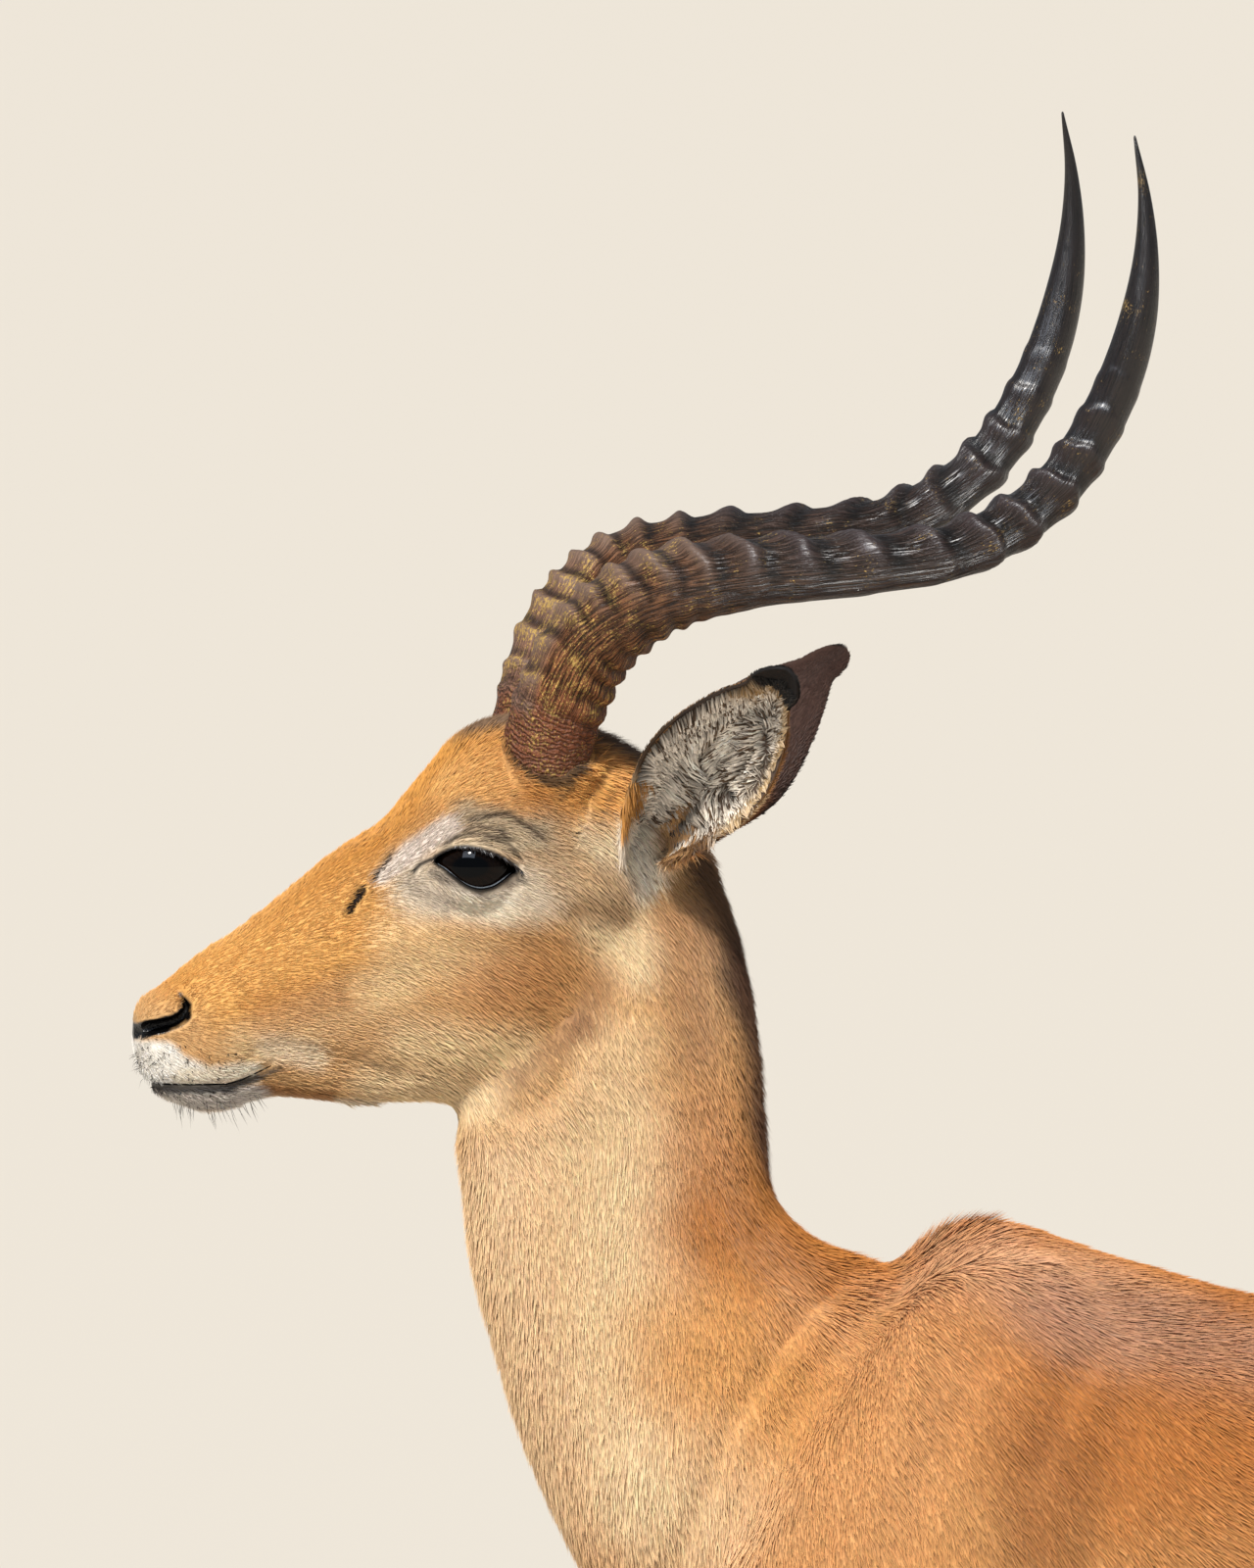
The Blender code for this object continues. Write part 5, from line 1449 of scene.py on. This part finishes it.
def mottled(name, scale, detail, dark, light, roughness):
    """A material whose colour wanders between two tones: gives it, its node tree, shader and place."""
    made, tree, shader = new_material(name)
    place = add(tree, "TexCoord").outputs["Object"]
    noise = add(tree, "TexNoise", {"Scale": scale, "Detail": detail, "Vector": place})
    tone = add(tree, "Mix", {**BLEND, 0: noise, 6: colour(dark), 7: colour(light)})
    plug(tree, shader, {"Base Color": tone, "Roughness": roughness})
    return made, tree, shader, place


# A cornea wet with tears: clear and very smooth, so the dark iris shows under one sharp gloss.
wet_eye, tree, shader = new_material("wet cornea over a dark iris")
place = add(tree, "TexCoord").outputs["Object"]
marking = add(tree, "Attribute", {"attribute_name": "markings"})
fleck = add(tree, "TexNoise", {"Scale": 700.0, "Detail": 3.0, "Vector": place})
mixed = add(tree, "Mix", {**MULTIPLY, 0: 0.5, 6: marking, 7: fleck})
plug(tree, shader, {"Base Color": mixed, "Roughness": 0.03, "IOR": 1.34, "Specular IOR Level": 0.22})
# The bare edge of the lower lid: damp and shiny, mottled from dark grey to pale blue-grey; the pale blue-grey
# is partly a painted reflection of the sky.
tear = mottled("wet skin of the lid", 900.0, 2.0, "#2E3038", "#7D8791", 0.12)[0]
# Lashes and whiskers: round black keratin bristles with a satin face.
lash = mottled("black bristle", 300.0, 2.0, "#0F0B09", "#2B211B", 0.4)[0]


def bristles(name, roots, first, second, length, width):
    """Round bristles: locks of one colour, pointed at the tip."""
    at = unwrap(roots, (-0.60, 0, 0.95), (-0.30, 0, 1.05))
    shade = np.full((len(roots), 3), 0.01)
    return lock_mesh(name, roots, first, second, length, width, shade, at, np.random.default_rng(3), lash)


def eye_ball(side, way):
    """The ball as rings round the way that the eye looks. The cornea stands out by 0.7 mm *
    exp(-(a / 0.55)^4) at the angle a from it. The iris is streaked, and its pupil is wide and level."""
    centre = EYE * (1, way, 1)
    aim = unit(np.array([-0.20, way * 0.97, 0.04]))
    level = unit(np.cross(aim, (0, 0, 1)))
    rise = np.cross(level, aim)
    a, turn = np.pi * np.arange(1, 96) / 96, circle(128)[:, None]
    bulge = EYE_RADIUS + 0.0007 * np.exp(-((a / 0.55) ** 4))
    out, ahead = (v[:, None, None] for v in (bulge * np.sin(a), bulge * np.cos(a)))
    ball, quads, triangles = sleeve(centre + out * (np.cos(turn) * level + np.sin(turn) * rise) + ahead * aim)
    ball[-2:] = centre + aim * bulge[0], centre - aim * EYE_RADIUS
    mesh = mesh_of(f"eye_ball_{side}", *outward(ball, quads, triangles))
    across, up, front = ((ball - centre) / EYE_RADIUS @ axis for axis in (level, rise, aim))
    angle = np.arctan2(up, across)
    streak = 1 + 0.25 * (np.sin(angle * 61) + np.sin(angle * 23 + 1))
    iris = plain("#120A06", len(ball)) * streak[:, None]
    pupil = grade(np.sqrt((across / 0.46) ** 2 + (up / 0.27) ** 2), 0.9, 0.25)
    shade = tint(iris, "#030406", 1 - pupil)
    coloured(mesh, tint(shade, "#0A0605", grade(np.arccos(np.clip(front, -1, 1)), 0.78, 0.14)))
    return mesh


def on_ball(edge, lift, way):
    """Points of the lids' edge, in the side view, set on the ball with a small lift."""
    off = edge - EYE[[0, 2]]
    out = EYE[1] + np.sqrt(np.maximum((EYE_RADIUS + lift) ** 2 - (off**2).sum(axis=1), 0))
    return np.stack([edge[:, 0], way * out, edge[:, 1]], axis=1)


for side, way in SIDES.items():
    eye = thing(f"eye_ball_{side}", eye_ball(side, way), wet_eye)
    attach(eye, "root")
    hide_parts(f"eye_{side}")

    # wet rim: the lower edge of the lids, pushed back onto the ball
    off = closed_curve(ALMOND, 96)[44:] - EYE[[0, 2]]
    far = np.linalg.norm(off, axis=1, keepdims=True)
    off = off * np.minimum(np.clip(1 - 0.0008 / far, 0, 1), 0.985 * EYE_RADIUS / far)
    line = on_ball(EYE[[0, 2]] + off, 0, way) + (0, way * 0.0002, 0)
    size = 0.00042 * np.sin(np.pi * np.linspace(0.03, 0.97, len(line))) ** 0.5
    rimmed = thing(f"lid_rim_{side}", mesh_of("rim", *snake(line, size, size, way, 8)), tear)
    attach(rimmed, "root")

    # lashes on the rear two thirds of the upper lid, which slant out, down and back
    dice = np.random.default_rng(11)
    edge = closed_curve(ALMOND, 560)[70:250][np.sort(dice.choice(180, 110, replace=False))]
    roots = on_ball(edge, 0.0012, way) + (0, 0, 0.0003)
    late = even(len(roots))[:, None]
    first = (0.10, way * 0.95, -0.10) + late * (0.5, 0, -0.25) + dice.normal(0, 0.10, (len(roots), 3))
    second = first + (0.15, -way * 0.35, -0.45) + dice.normal(0, 0.08, (len(roots), 3))
    length = (0.0035 + 0.0055 * late[:, 0]) * dice.uniform(0.7, 1.1, len(roots))
    fringe = bristles(f"coat_lashes_{side}", roots, first, second, length, 0.00035)

# ---------------------------------------------------------------- whiskers
# Black bristles on the muzzle: stubble 1.5 mm long on the lips, fine short ones at the front of the lip, and
# curved ones 7 to 14 mm long under the chin.
for label, count, low_x, high_x, low_z, high_z, size, thick, droop in (
    ("stubble", 260, -0.575, -0.512, 0.9550, 0.9850, 0.0015, 0.00070, 0.1),
    ("lip", 36, -0.575, -0.548, 0.9660, 0.9800, 0.0055, 0.00022, 0.2),
    ("chin", 44, -0.551, -0.500, 0.9480, 0.9618, 0.0110, 0.00026, 1.0),
):
    dice = np.random.default_rng(len(label))
    lips = (x > low_x) & (x < high_x) & (z > low_z) & (z < high_z)
    chosen = np.flatnonzero(lips & (bald[corners].max(axis=1) < 0.2))
    face = dice.choice(chosen, count, p=sizes[chosen] / sizes[chosen].sum())
    facing = normals[corners[face]].mean(axis=1)
    first = facing + (0.25 * droop, 0, -0.5 * droop) + dice.normal(0, 0.15, (count, 3))
    second = first + (0.35, 0, -0.6 * droop) + dice.normal(0, 0.15, (count, 3))
    long = size * dice.uniform(0.6, 1.25, count)
    whisker = bristles(f"coat_whiskers_{label}", middle[face], first, second, long, thick)

# ---------------------------------------------------------------- horns
# Lyre-shaped sheaths of keratin over bone, 0.6 m along the curve. Eighteen knuckled rings stand out most on
# the front and fade up the horn, fine grooves run lengthwise, and the last third is smooth and black.
HORN_LINE = metres([  # centre line of the left horn: x, z, distance from the middle plane, radius as a share
    (-370, 1102, 27, 1),  # inside the skull
    (-368.5, 1123, 31, 1),
    (-361.5, 1148, 39, 1),
    (-346.5, 1178, 56, 1),
    (-321.5, 1198.5, 84, 0.94),
    (-283.5, 1208.5, 110, 0.8),
    (-229.9, 1213.5, 128, 0.68),
    (-182.2, 1222.1, 136, 0.62),
    (-145.7, 1245.2, 141, 0.585),
    (-118.5, 1284.9, 146, 0.53),
    (-102.8, 1333, 150, 0.41),
    (-99.8, 1360, 150, 0.28),
    (-100.5, 1386, 149, 0.155),
    (-104.7, 1413, 147, 0.045),
], 3)
HORN_RIDGES = [  # share of the way along, height in millimetres
    (0.085, 0.9), (0.108, 1.3), (0.137, 1.7), (0.165, 2.1), (0.186, 2.2), (0.211, 2.3), (0.236, 2.3),
    (0.269, 2.5), (0.311, 2.7), (0.359, 2.5), (0.423, 2.4), (0.487, 2.1), (0.543, 2.2), (0.586, 2.0),
    (0.637, 1.7), (0.677, 1.3), (0.718, 0.8), (0.757, 0.4),
]

# Keratin sheath, grown in rings and worn: red-brown and crusted with ochre dust and lichen at the root, bare
# grey-purple and polished on the knuckles, then near black and glossy to the tip, with grooves 0.8 mm apart.
# Painted shade darkens the fine grooves, the clefts of the rings at the root and the hollows behind the
# knuckles and in the scallops, and painted light brightens the crests between grooves and rings.
keratin, tree, shader = new_material("ridged horn sheath")
grown = add(tree, "UVMap", {"uv_map": "growth"})
place = add(tree, "TexCoord").outputs["Object"]
share, knuckle, hollow = (
    add(tree, "Attribute", {"attribute_name": name}).outputs["Fac"] for name in ("share", "knuckle", "hollow")
)
stretch = add(tree, "Mapping", {"Scale": (60, 1150, 1), "Vector": grown})
noise = {"Scale": 1.0, "Detail": 3.0, "Roughness": 0.55, "Distortion": 0.5}
groove = add(tree, "TexNoise", {**noise, "Vector": stretch})
lumps = add(tree, "TexNoise", {"Scale": 210.0, "Detail": 4.0, "Roughness": 0.65, "Vector": place})
patch = add(tree, "TexNoise", {"Scale": 85.0, "Detail": 3.0, "Roughness": 0.6, "Vector": place})
short = add(tree, "Mapping", {"Scale": (560, 1100, 1), "Vector": grown})
fleck = add(tree, "TexNoise", {"Scale": 1.0, "Detail": 4.0, "Roughness": 0.7, "Vector": short})
body = add(tree, "ValToRGB", {0: share})
stops = (
    (0.0, "#7C4F3A"), (0.08, "#7C4A32"), (0.13, "#7A4E31"), (0.24, "#66442C"),
    (0.34, "#3E2C21"), (0.60, "#241916"), (0.78, "#1A1413"), (1.0, "#171312"),
)
while len(body.color_ramp.elements) < len(stops):
    body.color_ramp.elements.new(0.5)
for element, (spot, code) in zip(body.color_ramp.elements, stops):
    element.position, element.color = spot, colour(code)
worn = add(tree, "Math", {"operation": "MULTIPLY", 0: knuckle, 1: 0.85})
up = add(tree, "MapRange", {**span(0.24, 0.36), "Value": share})
clean = add(tree, "Mix", {**BLEND, 0: up, 6: colour("#7C675A"), 7: colour("#352A2B")})
bared = add(tree, "Mix", {**BLEND, 0: worn, 6: body, 7: clean})
low = add(tree, "MapRange", {**span(0.34, 0.16, 0.615, 0.537), "Value": share})
root = add(tree, "MapRange", {**span(0.115, 0.08, 0.0, 0.85), "Value": share})
level = add(tree, "Math", {"operation": "MULTIPLY_ADD", 0: root, 1: 0.03, 2: low})
both = add(tree, "Mix", {"data_type": "FLOAT", 0: 0.36, 2: fleck, 3: patch})
rare = add(tree, "Math", {"operation": "SUBTRACT", 0: both, 1: level})
dust = add(tree, "MapRange", {**span(-0.010, 0.012, 0.0, 0.9), "Value": rare})
lichen = add(tree, "Mix", {**BLEND, 0: lumps, 6: colour("#CDA35C"), 7: colour("#A08A4C")})
crust = add(tree, "Mix", {**BLEND, 0: dust, 6: bared, 7: lichen})
# the fine grooves are painted darker and the crests between them lighter: painted shade and painted light
dark = add(tree, "MapRange", {**span(0.38, 0.56, 0.15, 1.35), "Value": groove})
calm = add(tree, "Math", {"operation": "MAXIMUM", 0: worn, 1: root})
smooth = add(tree, "Mix", {"data_type": "FLOAT", 0: calm, 2: dark, 3: 0.95})
colour_with_groove_shade = add(tree, "Mix", {**MULTIPLY, 0: 1.0, 6: crust, 7: smooth})
waves = {"bands_direction": "X", "Scale": 120.0, "Distortion": 9.0, "Detail": 3.0, "Detail Scale": 2.0}
rings = add(tree, "TexWave", {**waves, "Vector": grown}).outputs["Fac"]
# at the root the clefts of the growth rings are painted darker and their crests lighter: painted shade and
# painted light
ring_cleft_shade = add(tree, "MapRange", {**span(0.05, 0.45, 0.38, 1.1), "Value": rings})
ringed = add(tree, "Mix", {**MULTIPLY, 0: root, 6: colour_with_groove_shade, 7: ring_cleft_shade})
# the hollows behind the knuckles and in the scallops are darkened: painted shade
deep = add(tree, "MapRange", {**span(0.0, 1.0, 1.0, 0.22), "Value": hollow})
colour_with_painted_shade = add(tree, "Mix", {**MULTIPLY, 0: 1.0, 6: ringed, 7: deep})
shine = add(tree, "MapRange", {**span(0.15, 0.40, 0.22, 0.5), "Value": share})
gloss = add(tree, "MapRange", {**span(0.15, 0.75, 0.50, 0.27), "Value": share})
dull = add(tree, "Math", {"operation": "MULTIPLY_ADD", 0: dust, 1: 0.35, 2: gloss})
polish = add(tree, "MapRange", {**span(0.50, 0.72, 1.0, 0.25), "Value": share})
rough = add(tree, "MapRange", {**span(0.30, 0.62, 0.6, 0.08), "Value": share})
fine = add(tree, "Bump", {"Distance": 0.0009, "Strength": polish, "Height": smooth})
annual = add(tree, "Bump", {"Distance": 0.0014, "Strength": root, "Height": rings, "Normal": fine})
coarse = add(tree, "Bump", {"Distance": 0.0012, "Strength": rough, "Height": lumps, "Normal": annual})
plug(tree, shader, {"Base Color": colour_with_painted_shade, "Specular IOR Level": shine, "Roughness": dull, "Normal": coarse})


def horn_sheath(side):
    """A bar along the centre line. Radius = table share * radius + ridge height * profile * (a share that
    falls off from the front to the back) + scallops + grooves. A ridge rises over a quarter of the gap before
    it, drops in a tenth of the gap after it, and leans to the tip on the outer side by up to 0.03 of the
    length."""
    length, around, way = 620, 72, SIDES[side]
    shares = even(length)
    path = flow(HORN_LINE[:, [0, 1, 0, 1, 2, 3]], shares)
    centre = np.stack([path[:, 0], way * path[:, 4], path[:, 1]], axis=1)
    along = np.gradient(centre, axis=0)
    step = np.linalg.norm(along, axis=1, keepdims=True)
    along /= step
    front = np.array([-0.35, 0.0, 1.0])
    front = unit(front - (along @ front)[:, None] * along)
    across = np.cross(along, front)
    turn = circle(around)[None]
    whole = shares[:, None] + 0 * turn
    lean = np.interp(whole, (0.10, 0.27, 0.50, 0.60, 0.70), (0.004, 0.030, 0.030, 0.014, 0.006))
    s = whole + lean * way * np.sin(turn)
    s += 0.003 * np.sin(2 * turn + 11 * whole) + 0.0015 * np.sin(5 * turn + 40 * whole)

    # ridges: their places along the horn, their section, and how far they wrap round to the back
    at, tall = np.array(HORN_RIDGES).T
    beat = np.interp(s, [0.03, *at, 0.80, 1.0], [-2, *range(len(at) + 1), len(at) + 6])
    phase = beat - np.round(beat)
    before, after = np.abs(phase / 0.27) ** 2.2, np.abs(phase / 0.15) ** 2.6
    crest = np.exp(-np.where(phase < 0, before, after))
    high = np.interp(s, [0.05, *at, 0.79], [0, *tall, 0]) / 1000
    high *= np.interp(s, (0.1, 0.25, 0.65, 0.75), (1.2, 1.65, 1.65, 1.2))
    wrap = np.interp(whole, (0.24, 0.34, 0.50, 0.60), (0.02, 0.05, 0.12, 0.70))
    forward = (0.5 + 0.5 * np.cos(turn + 0.35 * way)) ** np.interp(whole, (0.25, 0.5, 0.6), (2.6, 1.8, 1.0))
    height = high * (wrap + (1 - wrap) * forward)

    # the worn plate on the front of the lower horn, the scalloped back, and the grooves
    low = np.interp(whole, (0.08, 0.27), (0.35, 0.80))
    plate = grade(np.cos(turn + 0.15 * way), low, 0.12) * grade(whole, 0.07, 0.02) * grade(whole, 0.30, -0.03)
    scallop = 0.0011 * (0.5 - 0.5 * np.cos(turn)) ** 1.5 * np.cos(2 * np.pi * s * 40)
    scallop = scallop * grade(s, 0.30, -0.06) * grade(s, 0.07, 0.03)
    grooves = 0.00018 * np.sin(29 * turn + 6 * np.sin(9 * s) + 2 * np.sin(31 * s)) * grade(s, 0.80, -0.3)
    rough = 0.0004 * np.sin(7 * turn + 60 * s) * np.sin(90 * s + 3 * np.sin(turn)) * grade(s, 0.40, -0.2)
    slack = np.interp(whole, (0.1, 0.25, 0.65, 0.78), (0.0003, 0.0009, 0.0009, 0.0003))
    reach = HORN_RADIUS * path[:, 5:6] - slack + plate * 0.0007
    reach = reach + crest * height + scallop + grooves * (1 - plate) + rough
    rings = centre[:, None] + (reach * np.cos(turn))[..., None] * front[:, None]
    rings = rings + (0.94 * reach * np.sin(turn))[..., None] * across[:, None]
    points, quads, triangles = outward(*sleeve(rings, end=0.0015, steps=3))
    mesh = mesh_of(f"horn_{side}", points, quads, triangles)

    # what the material reads: the share along, the polished knuckles, and the hollows between them, which it
    # darkens as painted shade
    spare = len(points) - length * around
    bare = np.maximum(crest * np.clip(height / 0.0026 - 0.35, 0, 1), plate * (0.55 + 0.45 * crest))
    hollow = hump(phase, 0.30, 0.16) * np.clip(height / 0.0020, 0, 1)
    hollow = np.maximum(hollow, 0.7 * np.clip(-scallop / 0.0011, 0, 1))
    for label, values, last in (("share", whole, 1), ("knuckle", bare, 0), ("hollow", hollow, 0)):
        values = np.concatenate([values.ravel(), np.full(spare, last)])
        put(mesh.attributes.new(label, "FLOAT", "POINT").data, "value", values)

    # unwrap along the growth, opened at the back so that no face spans the seam
    full = 2 * np.pi * HORN_RADIUS * 0.8
    travel = np.concatenate([np.repeat(np.cumsum(step), around), np.full(spare, step.sum())])
    girth = np.concatenate([np.tile(turn.ravel(), length) / (2 * np.pi) * full, np.zeros(spare)])
    corner = array_of(mesh.loops, "vertex_index", 1, np.int32)
    strip = np.stack([travel[corner], girth[corner]], axis=1)
    owner = np.repeat(np.arange(len(mesh.polygons)), array_of(mesh.polygons, "loop_total", 1, np.int32))
    widest = np.zeros(len(mesh.polygons))
    np.maximum.at(widest, owner, strip[:, 1])
    strip[:, 1] += np.where((widest[owner] > 0.75 * full) & (strip[:, 1] < 0.25 * full), full, 0)
    put(mesh.uv_layers.new(name="growth").data, "uv", strip)
    return mesh


for side in SIDES:
    horn = thing(f"horn_sheath_{side}", horn_sheath(side), keratin)
    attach(horn, "root")
    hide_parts(f"horn_{side}")

# ---------------------------------------------------------------- hooves
# Two claws under each foot: dark keratin walls with growth rings, rounded to a flat sole. They narrow to
# the toe, and a gap of 1.6 mm parts them at the crown.
CROWN_HEIGHTS, TOE_REACH, CLEFT, GAP = (0.0560, 0.0400), 0.022, 0.0008, 0.0003
SOLE = 0.94  # share of the way down where a claw starts to round off

# Hoof horn, grown downwards: near black, dusty low down, with growth rings 2 mm apart.
hoof_horn, tree, shader, place = mottled("dark hoof horn", 240.0, 5.0, "#1D1815", "#54483C", 0.42)
waves = {"bands_direction": "Z", "Scale": 150.0, "Distortion": 2.5, "Detail": 3.0}
band = add(tree, "TexWave", {**waves, "Vector": place}).outputs["Fac"]
rings = add(tree, "Bump", {"Strength": 0.5, "Distance": 0.0004, "Height": band})
plug(tree, shader, {"Normal": rings})


def claw_of(crown, way):
    """One claw: D-shaped rings from the crown down to the sole. The toe stands out by reach * share^0.85, the
    heel bulges by 4 mm * sin(pi * share), and the last 2 mm round off to the sole."""
    front, rear = crown[:, 0].min(), crown[:, 0].max()
    share = np.concatenate([even(22) * SOLE, SOLE + (1 - SOLE) * np.sin(even(7)[1:] * np.pi / 2)])
    tuck = grade(share, SOLE, 1 - SOLE) ** 2
    toe = front - TOE_REACH * share**0.85 + 0.004 * tuck
    heel = rear + 0.004 * np.sin(np.pi * share) - 0.002 * share
    toe_height, heel_height = ((height - 2 * GAP) * (1 - share) for height in CROWN_HEIGHTS)
    wide = (0.0092 + 0.0016 * share) * (1 - 0.06 * tuck)
    one = np.ones(len(share))
    columns = [toe, toe_height, heel, heel_height, wide, 0.58 * one, 2.6 * one, 1.9 * one]
    rings = rings_of(np.stack(columns, axis=1), LEG_AROUND)
    rings[..., 1] += crown[:, 1].mean() + way * (wide + CLEFT * (1 + share))[:, None]
    return outward(*sleeve(rings))


for label, facts in LEGS.items():
    crown = leg(*facts)[0][-2 - 2 * LEG_AROUND : -2 - LEG_AROUND]
    for claw in ("inner", "outer"):
        way = facts[1] if claw == "outer" else -facts[1]
        hoof = thing(f"{label}_claw_{claw}", mesh_of("claw", *claw_of(crown, way)), hoof_horn)
        hoof.data.set_sharp_from_angle(angle=math.radians(55))
        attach(hoof, "root")
        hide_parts(f"{label}_hoof_{claw}")

# ---------------------------------------------------------------- floor and light
# A plain pale studio floor of painted board that runs far beyond the view, one wide soft key lamp high on
# the left in front of the ram, and an even pale sky as fill.
FLOOR_RADIUS, FLOOR_SIDES = 300, 96
board, tree, shader = new_material("matt painted studio board")
plug(tree, shader, {"Base Color": colour("#D8D2C8"), "Roughness": 0.9})
turn, step = circle(FLOOR_SIDES), np.arange(FLOOR_SIDES)
rim = FLOOR_RADIUS * np.stack([np.cos(turn), np.sin(turn), 0 * turn], axis=1)
ring_faces = np.stack([step, np.roll(step, -1), np.full(FLOOR_SIDES, FLOOR_SIDES)], axis=1)
floor = thing("floor", mesh_of("floor", np.concatenate([rim, [[0, 0, 0]]]), ring_faces), board)
floor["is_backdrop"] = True

key = bpy.data.lights.new("key", "SUN")
key.energy, key.angle, key.color = 4.5, math.radians(8), (1.0, 0.95, 0.87)
lamp = bpy.data.objects.new("key", key)
lamp.rotation_euler = (math.radians(44), 0.0, math.radians(-24))
bpy.context.scene.collection.objects.link(lamp)
# A softbox that only shows in gloss: the bright spot in the eye and the sheen along the horns.
box = bpy.data.lights.new("softbox", "AREA")
box.shape, box.size, box.size_y, box.energy, box.color = "RECTANGLE", 4.6, 3.2, 420.0, (0.74, 0.84, 1.0)
shine = bpy.data.objects.new("softbox", box)
shine.location = (-2.6, -4.6, 5.6)
shine.rotation_euler = (math.radians(49), 0.0, math.radians(-26))
shine.visible_diffuse = shine.visible_camera = False
bpy.context.scene.collection.objects.link(shine)
bpy.context.scene.view_settings.view_transform = "Standard"
world = bpy.data.worlds.new("pale sky")
bpy.context.scene.world = world
world.use_nodes = True
sky = world.node_tree.nodes["Background"]
plug(world.node_tree, sky, {"Color": (0.80, 0.88, 1.0, 1.0), "Strength": 0.32})

bpy.context.view_layer.update()
sizes = {"cad": [list(corner) for corner in cad_box], "visual": [list(corner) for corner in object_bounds()]}
